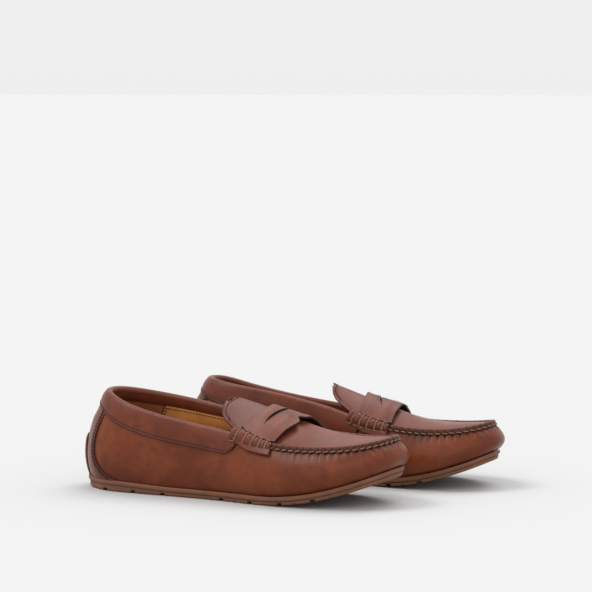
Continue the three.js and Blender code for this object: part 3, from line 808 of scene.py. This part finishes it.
# %% [markdown]
# ## The upper
#
# One long piece of leather makes the quarter and the vamp. Round the toe it has more length than
# the plug that it is sewn to, and the surplus is gathered into small puckers, one to each stitch,
# that fade out down the wall. Cloth simulation could gather it, but the gathers have to meet the
# stitches one by one, so they follow a formula that counts stitches along the seam. Each pucker is
# a little different: its size comes from a seeded list.

# %% Limits on the wall
collar_end = {1: 5.28 * step, -1: 5.74 * step}      # 1 is the outer side, -1 the inner
foam_end = {1: 4.95 * step, -1: 5.45 * step}
seam_start = {1: 6.12 * step, -1: 6.42 * step}


def nearness(u):
    """How far round from the heel, 0 to 0.5, and which side: 1 outer, -1 inner."""
    u = np.mod(u, 1)
    return np.minimum(u, 1 - u), np.where(u < 0.5, 1, -1)


def by_side(u, ends):
    """For each place, the value that belongs to its side."""
    return np.where(nearness(u)[1] > 0, ends[1], ends[-1])


def band_low(u):
    """How far up the wall the collar's lower edge lies."""
    return mix(0.86, 0.72, smooth(0, 4 * step, nearness(u)[0]))


def past_collar(u):
    """1 past the end of the collar's foam."""
    end = by_side(u, foam_end)
    return smooth(end, end + 0.35 * step, nearness(u)[0])


def in_seam(u):
    """1 where the moccasin seam runs, fading at its two ends."""
    start = by_side(u, seam_start)
    return smooth(start, start + 0.5 * step, nearness(u)[0])


rng = np.random.default_rng(7)
pucker_size = rng.uniform(0.55, 1.25, 400)
pucker_slant = rng.uniform(-0.6, 0.6, 400)


def puckers(u, t):
    """How far the gathers push the wall out, in millimetres, and how much painted shade lies in their
    creases.
    """
    s = along_seam(u) / stitch_pitch
    number = np.floor(s).astype(int) % 400
    down = np.clip((0.97 - t) / 0.30, 0, 1)
    bulge = np.abs(np.sin(np.pi * (s + 0.12 * pucker_slant[number] * down)))
    fade = (1 - down) ** 1.6 * in_seam(u) * pucker_size[number]
    toe = 0.55 + 0.45 * smooth(7 * step, 8.2 * step, nearness(u)[0])
    fine = 0.16 * np.sin(2 * np.pi * (2.3 * s + pucker_slant[number])) * smooth(1, 0.5, down) ** 2
    return (0.75 * (bulge - 0.55) + fine) * fade * toe, (1 - bulge) ** 3 * fade * 0.8


# %% The quarter and vamp in one piece
def upper_top(u):
    return mix(band_low(u) + 0.06, 0.99, past_collar(u))


def upper_point(a, b):
    t = mix(-0.02, upper_top(a), b)
    soft = 0.35 * np.sin(np.pi * b) * np.sin(7 * np.pi * a) * smooth(0.1, 0.2, nearness(a)[0])
    return wall(a, t, puckers(a, t)[0] + 0.5 * soft)


def upper_shade(a, b):
    t = mix(-0.02, upper_top(a), b)
    toe = smooth(6.5 * step, 9 * step, nearness(a)[0])
    # Darker towards the foot of the wall, more so at the toe, and towards the seam; painted shade in
    # the pucker creases.
    low = (1 - smooth(0.0, 0.22, t)) * mix(0.25, 0.45, toe)
    seam = smooth(0.80, 0.99, t) * in_seam(a) * 0.45
    return low + seam + puckers(a, t)[1]


piece("upper", grid(1100, 34, upper_point, upper_shade, closed=True), [upper_leather, edge_ink],
      stands_for=("quarter", "vamp_fold_outer", "vamp_fold_inner", "vamp_front"),
      bends=flexes, thickness=1.5)

# %% [markdown]
# ## Heel strap
#
# A strap covers the joint at the back of the heel. It widens towards the sole. Two rows of dark
# stitches lie in a pressed channel along each edge. Bump in the material could draw the channel,
# but it is close to the eye and catches the light, so the sheet itself dips there by a fraction of
# a millimetre.


# %% The heel strap and its stitches
heel_turn = 620          # millimetres of a whole turn, as measured round the heel


def strap_half(t):
    """Half the strap's width, as a share of a turn."""
    return 0.072 + 0.044 * (1 - t) ** 3


def heel_strap_point(a, b):
    t = mix(0.0, band_low(np.zeros_like(b)) + 0.03, b)
    u = (2 * a - 1) * strap_half(t)
    from_edge = (1 - np.abs(2 * a - 1)) * strap_half(t) * heel_turn
    channel = hump(from_edge - 3.0, 1.5)
    tucked = 0.75 * smooth(0.78, 0.9, b)
    return wall(u, t, 1.35 - 0.2 * channel - tucked)


def heel_strap_shade(a, b):
    from_edge = (1 - np.abs(2 * a - 1)) * strap_half(b) * heel_turn
    return 0.7 * hump(from_edge, 0.8) + 0.35 * hump(from_edge - 3.0, 1.4)


piece("heel_strap", grid(120, 60, heel_strap_point, heel_strap_shade), [trim_leather, edge_ink],
      stands_for=("back_strap",), thickness=1.1, edge=0.25)

rows = []
for sign in (1, -1):
    for inset in (2.1, 3.9):
        t = np.linspace(0.03, 0.84, 120)
        u = sign * (strap_half(t) - inset / heel_turn)
        rows.append(stitch_row(*wall_path(u, t, 1.15), pitch=2.5, length=2.0, width=0.85, lift=0.12))
piece("heel_strap_threads", joined(*rows), [dark_thread])

# %% [markdown]
# ## Padded collar
#
# The collar band starts low on the outside, turns over the foam at the topline and ends a little
# way down the inside. A tube laid along the topline would look like a rubber seal, because a real
# collar is flat leather folded over a soft core. Its section is a hairpin, so the grid's second
# share walks up the outer leg, round the bend and down the inner leg. The foam swells it between
# the stitch row and the topline.

# %% The collar band
collar_bend_t = 0.965    # how far up the wall the band turns over
collar_off = 1.3         # off the wall
collar_row = 0.14        # the stitch row, as a share of the outer leg


def collar_low(u):
    """The band's lower edge, with a round corner at its front end."""
    corner = 0.34 * step
    q = np.clip((nearness(u)[0] - (by_side(u, collar_end) - corner)) / corner, 0, 1)
    return mix(band_low(u), 0.93, 1 - np.sqrt(1 - q ** 2))


def collar_u(a):
    return mix(-collar_end[-1], collar_end[1], a)


def collar_point(a, b):
    u = collar_u(a)
    flat_end = past_collar(u)
    radius = mix(collar_radius, 0.9, flat_end)
    bend_t = mix(collar_bend_t, 0.94, flat_end)
    out, up = wall_frame(u, bend_t)
    centre_off = collar_off - radius
    centre = wall(u, bend_t, centre_off)
    leg = np.clip(b / 0.5, 0, 1)
    t = mix(collar_low(u), bend_t, leg)
    swell = (1 - flat_end) * (0.5 * np.sin(np.pi * np.clip((leg - 0.22) / 0.78, 0, 1)) ** 0.8)
    stitch = 0.15 * hump(leg - collar_row, 0.05)
    outer = wall(u, t, collar_off + swell - stitch)
    angle = np.pi * np.clip((b - 0.5) / 0.25, 0, 1)
    bend = centre + out * (radius * np.cos(angle))[:, None] + up * (radius * np.sin(angle))[:, None]
    inner_leg = np.clip((b - 0.75) / 0.25, 0, 1)
    inner_off = centre_off - radius - 0.5 * np.sin(np.pi * inner_leg)
    inner = wall(u, mix(bend_t, 0.885, inner_leg), inner_off)
    part = b[:, None]
    return np.where(part <= 0.5, outer, np.where(part < 0.75, bend, inner))


def collar_shade(a, b):
    leg = b / 0.5
    # Darker at the lower edge, as inked edge and as painted shadow where the band lies on the wall, and
    # along the stitch row.
    return hump(leg, 0.04) + hump(leg - collar_row, 0.06) * 0.3


piece("collar", grid(420, 52, collar_point, collar_shade), [trim_leather, edge_ink],
      stands_for=("collar_band", "collar_foam"), thickness=1.0, edge=0.2)

u = collar_u(np.linspace(0.004, 0.996, 900))
t = mix(collar_low(u), collar_bend_t, collar_row)
collar_stitches = stitch_row(*wall_path(u, t, 1.0), pitch=2.3, length=1.7, width=0.85, lift=0.2)
piece("collar_threads", collar_stitches, [dark_thread])

# %% [markdown]
# ## Linings and footbed
#
# Inside, brown suede grips the heel and tan leather lines the sides. The strip just under the
# collar is sewn down along its lower edge, so it stands slightly proud, with one row of stitches
# under the collar and another along the strip. The linings could be the upper's inner face in
# another colour, but they are their own hides on the real shoe, so each is its own sheet, a named
# distance inside the wall. A cushioned footbed covers the board.


# %% The linings
def lining_off(u, t):
    near, _ = nearness(u)
    heel = 1 - smooth(2.9 * step, 3.5 * step, near)
    toe = smooth(7.4 * step, 8.0 * step, near)
    collar = smooth(0.5, 0.8, t) * (1 - past_collar(u))
    return -(2.0 + 1.7 * np.maximum(np.maximum(heel, toe), collar))


def lining_top(u):
    return mix(0.905, 0.93, past_collar(u))


strip_low = 0.72


strip_fold = 0.012       # how far below its seam the strip's edge starts to stand proud
lining_foot = 0.08
heel_seam, toe_seam = 2.46 * step, 7.4 * step


def lining_sheet(from_u, to_u, columns, strip):
    """A lining between two places round the shoe, with or without the strip along its top."""
    def place_on_wall(a, b):
        u = mix(from_u, to_u, a)
        return u, mix(lining_foot, lining_top(u), b)

    def place(a, b):
        u, t = place_on_wall(a, b)
        proud = 0 * t
        if strip:
            height = np.clip((t - strip_low) / (lining_top(u) - strip_low), 0, 1)
            proud = 0.5 * smooth(strip_low - strip_fold, strip_low, t) + 0.5 * np.sin(np.pi * height)
        return wall(u, t, lining_off(u, t) - proud)

    def shade(a, b):
        _, t = place_on_wall(a, b)
        if strip:
            # On the strip, painted shade along its proud sewn edge and near the top, under the collar.
            return 0.35 * hump(t - strip_low, strip_fold) + 0.3 * smooth(0.87, 0.905, t)
        return 0.9 * smooth(0.893, 0.9, t)

    sheet = grid(columns, 60, place, shade)
    bmesh.ops.reverse_faces(sheet, faces=sheet.faces[:])
    return sheet


piece("heel_lining_suede", lining_sheet(-heel_seam, heel_seam, 120, False), [heel_suede],
      stands_for=("heel_lining",), thickness=0.9)
for name, from_u, to_u in (("outer", heel_seam, toe_seam), ("inner", -toe_seam, -heel_seam)):
    piece(f"quarter_lining_{name}_leather", lining_sheet(from_u, to_u, 160, True), [tan_lining],
          stands_for=(f"quarter_lining_{name}",), bends=flexes, thickness=0.9)

rows = []
for side in (1, -1):
    u = side * np.linspace(heel_seam + 0.003, 5.2 * step, 160)
    for height in (strip_low + 0.018, 0.868):
        path, out = wall_path(u, height, lining_off(u, np.full_like(u, height)) - 1.45)
        rows.append(stitch_row(path, -out, width=0.8, lift=0.1))
    t = np.linspace(0.2, 0.88, 80)
    for shift in (-0.0022, 0.0022):
        seam_u = np.full_like(t, side * (heel_seam + shift))
        path, out = wall_path(seam_u, t, lining_off(seam_u, t) - 1.25)
        rows.append(stitch_row(path, -out, width=0.8, lift=0.1))
piece("lining_threads", joined(*rows), [dark_thread])


def stiffener_point(a, b):
    return wall(mix(-0.11, 0.11, a), mix(0.12, 0.6, b), -2.2)


piece("heel_stiffener", grid(40, 16, stiffener_point), [stiffener_board],
      stands_for=("heel_counter",), thickness=1.1)


# %% The vamp lining and the footbed
def vamp_lining_point(a, b):
    u = mix(toe_seam, 1 - toe_seam, a)
    t = mix(lining_foot, 0.93, b)
    return wall(u, t, lining_off(u, t))


sheet = grid(120, 20, vamp_lining_point)
bmesh.ops.reverse_faces(sheet, faces=sheet.faces[:])
piece("vamp_lining_leather", sheet, [tan_lining], body="forefoot",
      stands_for=("vamp_lining",), thickness=0.9)


footbed_inset = 5.0      # from the foot line, clear of the linings


def footbed_point(a, b):
    """From the middle out to the rim, where the cushion turns up a little, then down its side."""
    rim = foot_line(a) - foot_out(a) * footbed_inset
    middle = spine(np.rint(np.clip(rim[:, 0], 24, 230) / 2) * 2)
    share = np.clip(b / 0.8, 0, 1)
    point = mix(middle, rim, share[:, None])
    cup = 1.6 * share ** 4 - 0.5 * (1 - share ** 2)
    drop = np.clip((b - 0.8) / 0.2, 0, 1)
    point[:, 2] = feather(point[:, 0]) + 5.0 + cup - 3.6 * drop
    return point


def footbed_shade(a, b):
    # Painted shade towards the rim, where the walls and linings stand over it.
    return 0.5 * smooth(0.6, 0.9, b)


piece("footbed", grid(400, 24, footbed_point, footbed_shade, closed=True), [tan_lining],
      stands_for=("footbed_rear", "footbed_front"), bends=flexes)

# %% [markdown]
# ## Apron and moccasin seam
#
# The apron closes the top of the vamp. Its edge is turned up and sewn through, which leaves a
# raised ridge with a crimped top and a rope of tan stitches along its foot. Bevelling the panel's
# edge upwards would give an even welt, and the crimps would be lost. So the panel is a sheet on the
# plug surface, and the ridge is a closed bead whose height and width change with the stitches.


# %% The apron panel
def apron_point(a, b):
    w = mix(skewed(strap_rear + 4.5, b), 0.985, a)
    edge = np.minimum(b, 1 - b) * 60
    dip = 0.5 * hump(edge, 3)
    return plug(w, b, -dip * smooth(0.2, 0.4, a))


def apron_shade(a, b):
    edge = np.minimum(np.minimum(b, 1 - b) * 62, (1 - a) * 95)
    # Painted shade along the edges, where the panel dips under the raised seam.
    return 0.5 * hump(edge, 2.6)


piece("apron", grid(150, 90, apron_point, apron_shade), [vamp_leather],
      stands_for=("apron_rear", "apron_fold", "apron_front"), bends=flexes, thickness=1.4)

# %% The raised seam
ridge_from, ridge_to = seam_start[1], 1 - seam_start[-1]


def ridge_point(a, b):
    u = mix(ridge_from, ridge_to, a)
    s = along_seam(u) / stitch_pitch
    number = np.floor(s).astype(int) % 400
    pinch = np.abs(np.sin(np.pi * s))
    level = rim_out(u)
    centre = wall_surface(u, np.ones_like(u)) - level * 0.2
    angle = 2 * np.pi * b
    ends = np.clip(np.minimum(a, 1 - a) * 60, 0.25, 1) ** 0.5
    half_wide = 1.45 * (0.80 + 0.20 * pinch) * ends
    half_high = 2.35 * (0.93 + 0.07 * pinch * pucker_size[number]) * ends
    beside, above = np.cos(angle), np.sin(angle)
    wide = np.sign(beside) * np.abs(beside) ** 0.75 * half_wide
    high = np.sign(above) * np.abs(above) ** 0.85 * half_high
    crimp = 0.28 * np.clip(above, 0, 1) * (pinch - 0.6) * pucker_size[number]
    lean = 0.25 * np.clip(high, 0, 3)
    point = centre + level * (wide - lean + crimp)[:, None]
    point[:, 2] += high + 1.1
    return point


def ridge_shade(a, b):
    s = along_seam(mix(ridge_from, ridge_to, a)) / stitch_pitch
    pinch = 1 - np.abs(np.sin(np.pi * s))
    # The bead is darker on its outer face; painted shade lies on its lower half and in the pinches
    # between its crimps.
    face = 0.55 * np.clip(np.cos(2 * np.pi * b), 0, 1) ** 0.7
    foot = 0.9 * np.clip(-np.sin(2 * np.pi * b), 0, 1)
    return face + foot + 0.6 * pinch ** 3


piece("seam_ridge", grid(1300, 18, ridge_point, ridge_shade, closed=True), [vamp_leather],
      bends=flexes)

# %% The rope of stitches along the seam
u = np.linspace(ridge_from + 0.002, ridge_to - 0.002, 1500)
level = rim_out(u, 0.35)
path = wall_surface(u, np.full_like(u, 0.985)) + level * 1.25
rope = stitch_row(path, level, pitch=stitch_pitch, length=4.7, width=1.15, tilt=9)
under_path = path - level * 0.35 + np.array([0, 0, 0.1])
under_rope = stitch_row(under_path, level, pitch=stitch_pitch, length=5.6, width=0.8, tilt=-16)
piece("seam_threads", rope, [tan_thread], bends=flexes)
piece("seam_under_threads", under_rope, [dark_thread], bends=flexes)

# %% [markdown]
# ## Tongue
#
# The tongue is the rear end of the plug. It has a round free edge, stitched three millimetres in,
# and a tan lining under it. It lifts when a foot goes in, and leather has no hinge, so it would bend
# rather than turn stiffly; here both sheets are fixed where they are drawn.


# %% The tongue, its lining and its stitches
def tongue_place(a, b):
    """The share w of a point, and its distance from the tongue's free edge."""
    w = mix(0.004, skewed(strap_rear + 9, b), a)
    wide = np.linalg.norm(plug_rim(w / 2) - plug_rim(-w / 2), axis=1)
    return w, wide * np.minimum(b, 1 - b)


def tongue_point(a, b):
    w, edge = tongue_place(a, b)
    return plug(w, b, 0.25 - 0.5 * hump(edge, 1.6))


def tongue_shade(a, b):
    _, edge = tongue_place(a, b)
    return 0.6 * hump(edge, 1.2) + 0.25 * hump(edge - 3.2, 1.2)


lifts = ("tongue_flap", 143, 131)
piece("tongue_leather", grid(90, 90, tongue_point, tongue_shade), [trim_leather, edge_ink],
      stands_for=("tongue",), bends=lifts, thickness=1.5, edge=0.3)


def tongue_lining_point(a, b):
    w = mix(0.015, skewed(strap_rear + 6, b), a)
    return plug(w, mix(0.03, 0.97, b), -1.55)


piece("tongue_lining_leather", grid(40, 40, tongue_lining_point), [tan_lining],
      stands_for=("tongue_lining",), bends=lifts, thickness=1.0)

tongue_middle = np.array([134.0, -1.5, 66.0])
tongue_row_inset = 3.1


def tongue_row():
    """A row that follows the free edge, three millimetres in from it."""
    shares = np.linspace(float(skewed(strap_rear + 2, np.array([0.5]))[0]), 0.012, 140)
    halves = []
    for side in (1, -1):
        rim, other = plug_rim(side * shares / 2), plug_rim(-side * shares / 2)
        toward = unit(mix(tongue_middle, (rim + other) / 2, 0.3) - rim)
        halves.append((rim + toward * tongue_row_inset)[::side])
    return np.vstack(halves)


cloud_w, cloud_v = (lines.ravel() for lines in np.meshgrid(np.linspace(0.004, 0.3, 160),
                                                           np.linspace(0.02, 0.98, 120)))
cloud = plug_surface(cloud_w, cloud_v)


def drop_on_plug(points, off):
    """Points near the plug put on it, at a distance off."""
    near = np.argmin(np.linalg.norm(points[:, None] - cloud[None], axis=2), axis=1)
    return plug_path(cloud_w[near], cloud_v[near], off)


tongue_stitches = stitch_row(*drop_on_plug(tongue_row(), 0.3), pitch=2.5, lift=0.12)
piece("tongue_threads", tongue_stitches, [dark_thread], bends=lifts)

# %% [markdown]
# ## Saddle strap
#
# The strap lies over the instep on a slight skew. Its front edge has a notch in the middle, and a
# crescent slot is cut through it. A boolean cut would leave ragged triangles round so thin a slot.
# Instead two sheets, behind and in front of it, share their meeting line except along the slot,
# where each follows its own lip.


# %% The strap around its slot
notch_place = 0.53       # across the strap, where its front edge is notched


def strap_front_line(v):
    beside = np.abs(v - notch_place)
    notch = 2.6 * (1 - smooth(0, 0.055, beside))
    flare = 1.3 * smooth(0.03, 0.09, beside) * (1 - smooth(0.09, 0.3, beside))
    return strap_front + flare - notch


def slot_share(v):
    """Place along the slot: 0 at its middle and 1 or -1 at its ends."""
    return (2 * v - 1) * strap_reach / slot_half


def slot_line(v, lip):
    """The crescent's rear (lip -1) or front (lip 1) edge, as a place along the crest."""
    inside = np.clip(1 - slot_share(v) ** 2, 0, 1)
    slant = slot_skew * strap_reach * (2 * v - 1)
    return slot_place + slant + slot_bow * (1 - inside) + lip * 0.75 * inside ** 0.8


strap_sides = (0.035, 0.965)
strap_off = 2.2          # off the plug


def strap_lift(x, v, front):
    """The front edge springs up a little, and the slot's rear lip stands above its front lip."""
    near_front = smooth(9, 0, front - x)
    centre = 1 - smooth(0.55, 0.95, np.abs(2 * v - 1))
    at_slot = hump(x - slot_line(v, 0), 3.0) * (1 - smooth(0.5, 1.0, np.abs(slot_share(v))))
    behind = np.where(x < slot_line(v, 0), 0.5, -0.25)
    return 0.9 * near_front * centre + behind * at_slot


def strap_half_sheet(rear):
    def place(a, b):
        v = mix(*strap_sides, a)
        front = strap_front_line(v)
        if rear:
            x = mix(strap_rear, slot_line(v, -1), b)
        else:
            x = mix(slot_line(v, 1), front, b)
        return plug(skewed(x, v), v, strap_off + strap_lift(x, v, front))

    def shade(a, b):
        v = mix(*strap_sides, a)
        outer_edge = (b if rear else 1 - b) * 20
        slot_edge = (1 - b if rear else b) * 14
        at_slot = 1 - smooth(0.8, 1.05, np.abs(slot_share(v)))
        # Darker along the outer edges and the stitch row; painted shade at the lips of the slot.
        return (0.5 * hump(outer_edge, 0.9) + 0.2 * hump(outer_edge - 2.4, 0.9)
                + 0.45 * hump(slot_edge, 1.2) * at_slot)

    return grid(168, 26, place, shade)


strap = joined(strap_half_sheet(True), strap_half_sheet(False))
bmesh.ops.remove_doubles(strap, verts=strap.verts[:], dist=0.03)
piece("strap", strap, [trim_leather, edge_ink], stands_for=("saddle_strap",),
      thickness=1.7, edge=0.25)

# %% The strap's stitches
def strap_row(x, v, lift=0.0):
    return stitch_row(*plug_path(skewed(x, v), v, strap_off + lift), lift=0.12)


v = np.linspace(0.12, 0.88, 260)
front_x = strap_front_line(v) - 2.4
front_lift = strap_lift(front_x, v, strap_front_line(v))
rows = [strap_row(strap_rear + 2.2, v), strap_row(front_x, v, front_lift)]
x = np.linspace(strap_rear + 2.5, strap_front - 4, 120)
rows += [strap_row(x, np.full_like(x, place)) for place in (0.125, 0.875)]
piece("strap_threads", joined(*rows), [dark_thread])

# %% [markdown]
# ## Beef rolls
#
# Each end of the strap is rolled and bound to the seam with thread. The roll is a tapering bead
# between two rows of stitches. Five wraps of tan thread pull it in, so it swells between them, and
# a square-cornered tab of the strap shows below it. A plain cylinder with rings would look like a
# spring, so one function gives the roll's surface, and the threads are laid on that same surface.

# %% Where a roll lies
wrap_shares = np.array([0.14, 0.35, 0.54, 0.72, 0.88])
wrap_width = 0.028       # of the valley that a wrap presses, as a share of the roll
rear_depth, front_depth = 3.9, 2.5
rear_half, front_half = 5.4, 3.5


def roll_turns(side):
    """Where a roll starts and ends on the way round the shoe."""
    lag = side * strap_skew * strap_reach
    return wall_turn(strap_rear - 6.5 - lag, side), wall_turn(strap_front - 1 - lag, side)


def roll_frame(side, share):
    """Centre line, outward and upward directions of a roll, at shares from rear to front."""
    u = mix(*roll_turns(side), share)
    ones = np.ones_like(u)
    facing = unit(rim_out(u) + np.array([0, 0, 0.55]))
    forward = unit(wall_surface(u + 0.002 * side, ones) - wall_surface(u - 0.002 * side, ones))
    rise = unit(np.cross(forward, facing)) * side
    rise = np.where(rise[:, 2:3] < 0, -rise, rise)
    return wall_surface(u, ones) + facing * 0.9, facing, rise


def roll_half(share):
    return mix(rear_half, front_half, share)


def roll_surface(side, share, angle, extra=0.0):
    """A point on a roll: the angle runs from 0 at its top edge to pi at its bottom edge."""
    centre, facing, rise = roll_frame(side, share)
    valley = hump(share[:, None] - wrap_shares, wrap_width).max(axis=1)
    ends = np.clip(np.minimum(share + 0.02, 1.02 - share) * 14, 0.0, 1) ** 0.5
    depth = mix(rear_depth, front_depth, share) * (1 - 0.36 * valley) * mix(0.55, 1, ends) + extra
    half = roll_half(share) * mix(0.8, 1, ends) + extra * 0.3
    return centre + facing * (depth * np.sin(angle))[:, None] + rise * (half * np.cos(angle))[:, None]


def roll_sheet(side):
    def place(a, b):
        angle = 2 * np.pi * b
        front = roll_surface(side, a, angle)
        centre, facing, rise = roll_frame(side, a)
        back = centre - facing * 0.6 + rise * (roll_half(a) * 0.8 * np.cos(angle))[:, None]
        return np.where((b <= 0.5)[:, None], front, back)

    def shade(a, b):
        # Painted shade in the valley beside each wrap, along the top and bottom edges and at the front
        # end.
        valley = hump(a[:, None] - wrap_shares - 0.018, 0.022).max(axis=1)
        rims = np.clip(np.abs(np.cos(2 * np.pi * b)) - 0.75, 0, 1) * 3
        return 0.75 * valley + 0.6 * rims + 0.8 * hump(1 - a, 0.03)

    sheet = grid(120, 32, place, shade, closed=True)
    bmesh.ops.holes_fill(sheet, edges=[edge for edge in sheet.edges if edge.is_boundary], sides=0)
    bmesh.ops.recalc_face_normals(sheet, faces=sheet.faces[:])
    return sheet


def tab_sheet(side):
    """The strap's end below the roll: a wedge at the rear that grows to a square corner in front."""
    def place(a, b):
        u = mix(*roll_turns(side), a)
        t = mix(0.975, mix(0.935, 0.855, smooth(0, 0.5, a)), b)
        lie = mix(2.1, 1.2, smooth(0.05, 0.5, a))
        return wall(u, t, lie + 0.25 * b)

    def shade(a, b):
        return 0.55 * hump(1 - b, 0.12) + 0.5 * hump(1 - a, 0.03)

    sheet = grid(70, 12, place, shade)
    if side < 0:
        bmesh.ops.reverse_faces(sheet, faces=sheet.faces[:])
    return sheet


# %% The rolls, their tabs and their threads
def roll_threads(side):
    """Five wraps over the roll, and a row of stitches along its top and its bottom."""
    angle = np.linspace(-0.06, math.pi + 0.06, 26)
    threads = [thread_run(roll_surface(side, np.full_like(angle, share), angle, 0.25), 0.78)
               for share in wrap_shares]
    share = np.linspace(-0.03, 0.99, 80)
    _, facing, rise = roll_frame(side, share)
    for angle, way in ((0.0, 1), (math.pi, -1)):
        edge = roll_surface(side, np.clip(share, 0, 1), np.full_like(share, angle))
        path, out = edge + facing * 1.1 + rise * (0.5 * way), unit(facing + rise * 0.4 * way)
        threads.append(stitch_row(path, out, pitch=6.0, length=4.6, width=1.05, tilt=4))
    return joined(*threads)


for side, name in ((1, "outer"), (-1, "inner")):
    piece(f"roll_{name}", roll_sheet(side), [trim_leather],
          stands_for=(f"beef_roll_{name}",))
    piece(f"roll_tab_{name}", tab_sheet(side), [trim_leather, edge_ink],
          thickness=1.0, edge=0.2)
    piece(f"roll_threads_{name}", roll_threads(side), [tan_thread])

# %% [markdown]
# ## Floor, light and camera
#
# The set is a plain pale floor under an even white sky, so the floor and what lies beyond it have
# one tone. Area lamps close by would give small bright spots on waxed leather, so three wide suns
# light it instead: the key from the heel side and above, a broader one overhead, which draws the
# long highlights on the vamp, and a weak fill from the front.

# %% The floor and the sky
floor_tone = 0.5
floor_finish = Finish("pale_floor", Roughness=1.0, Specular_IOR_Level=0.0)
floor_finish.shader.inputs["Base Color"].default_value = (floor_tone, floor_tone, floor_tone, 1)
floor_mesh = bpy.data.meshes.new("floor")
floor_sheet = bmesh.new()
bmesh.ops.create_grid(floor_sheet, x_segments=2, y_segments=2, size=60)
floor_sheet.to_mesh(floor_mesh)
floor_sheet.free()
floor_mesh.materials.append(floor_finish.material)
floor = bpy.data.objects.new("floor", floor_mesh)
floor.location.z = -0.0002
bpy.context.scene.collection.objects.link(floor)
floor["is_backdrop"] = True

world = bpy.data.worlds.new("studio")
world.use_nodes = True
bpy.context.scene.world = world
sky = Graph(world.node_tree, "Background", "Generated")
height = sky.node("ShaderNodeSeparateXYZ", {}, {0: sky.place}, "Z")
# 0 is the horizon and below it, 1 is straight up: brighter with height, with a darker cap
levels = ((0.0, 0.86), (0.8, 1.15), (0.801, 0.75), (1.0, 1.0))
sky.feed("Color", sky.node("ShaderNodeValToRGB", {"stops": levels}, {0: height}))
sky.shader.inputs["Strength"].default_value = 1.0
bpy.context.scene.view_settings.view_transform = "Standard"
print("the sky's levels are", levels)


# %% Lights
def sun(name, direction, strength, spread):
    """A soft light from far away: direction points from the shoes to the light."""
    data = bpy.data.lights.new(name, "SUN")
    data.energy, data.angle = strength, math.radians(spread)
    light = bpy.data.objects.new(name, data)
    light.rotation_mode = "QUATERNION"
    light.rotation_quaternion = Vector(direction).to_track_quat("Z", "Y")
    bpy.context.scene.collection.objects.link(light)
    print(name, "sun,", spread, "degrees wide")


sun("key", (-0.5, -0.25, 0.95), 1.25, 26)
sun("overhead", (0.1, 0.5, 1.0), 1.45, 40)
sun("fill", (0.3, -0.9, 0.45), 0.45, 60)

# %% The camera
yaw, elevation = math.radians(26), math.radians(7.6)
distance = 1950          # millimetres from the aim, far enough for little perspective
aim = Vector((140, 30, 35))
back = Vector((math.sin(yaw) * math.cos(elevation), -math.cos(yaw) * math.cos(elevation),
               math.sin(elevation)))
rightward = Vector((math.cos(yaw), math.sin(yaw), 0))
upward = Vector((-math.sin(yaw) * math.sin(elevation), math.cos(yaw) * math.sin(elevation),
                 math.cos(elevation)))
look = -back + rightward * 0.00607 + upward * 0.05407     # above the shoes: they stand low
camera_data = bpy.data.cameras.new("camera")
camera_data.sensor_width, camera_data.lens = 36, 164.19
camera_data.clip_start, camera_data.clip_end = 0.05, 200
camera = bpy.data.objects.new("camera", camera_data)
camera.location = shoes["right"] @ (aim + back * distance)
camera.rotation_mode = "QUATERNION"
camera.rotation_quaternion = look.to_track_quat("-Z", "Y")
bpy.context.scene.collection.objects.link(camera)
bpy.context.scene.camera = camera
print("the camera stands", round(distance / 1000, 2), "m from the shoes")

# %% Sizes and finish
visual_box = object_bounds()
boxes = {"cad": [list(corner) for corner in cad_box], "visual": [list(corner) for corner in visual_box]}
for label, (low, high) in boxes.items():
    print(label, [round((h - l) * 1000, 1) for l, h in zip(low, high)])
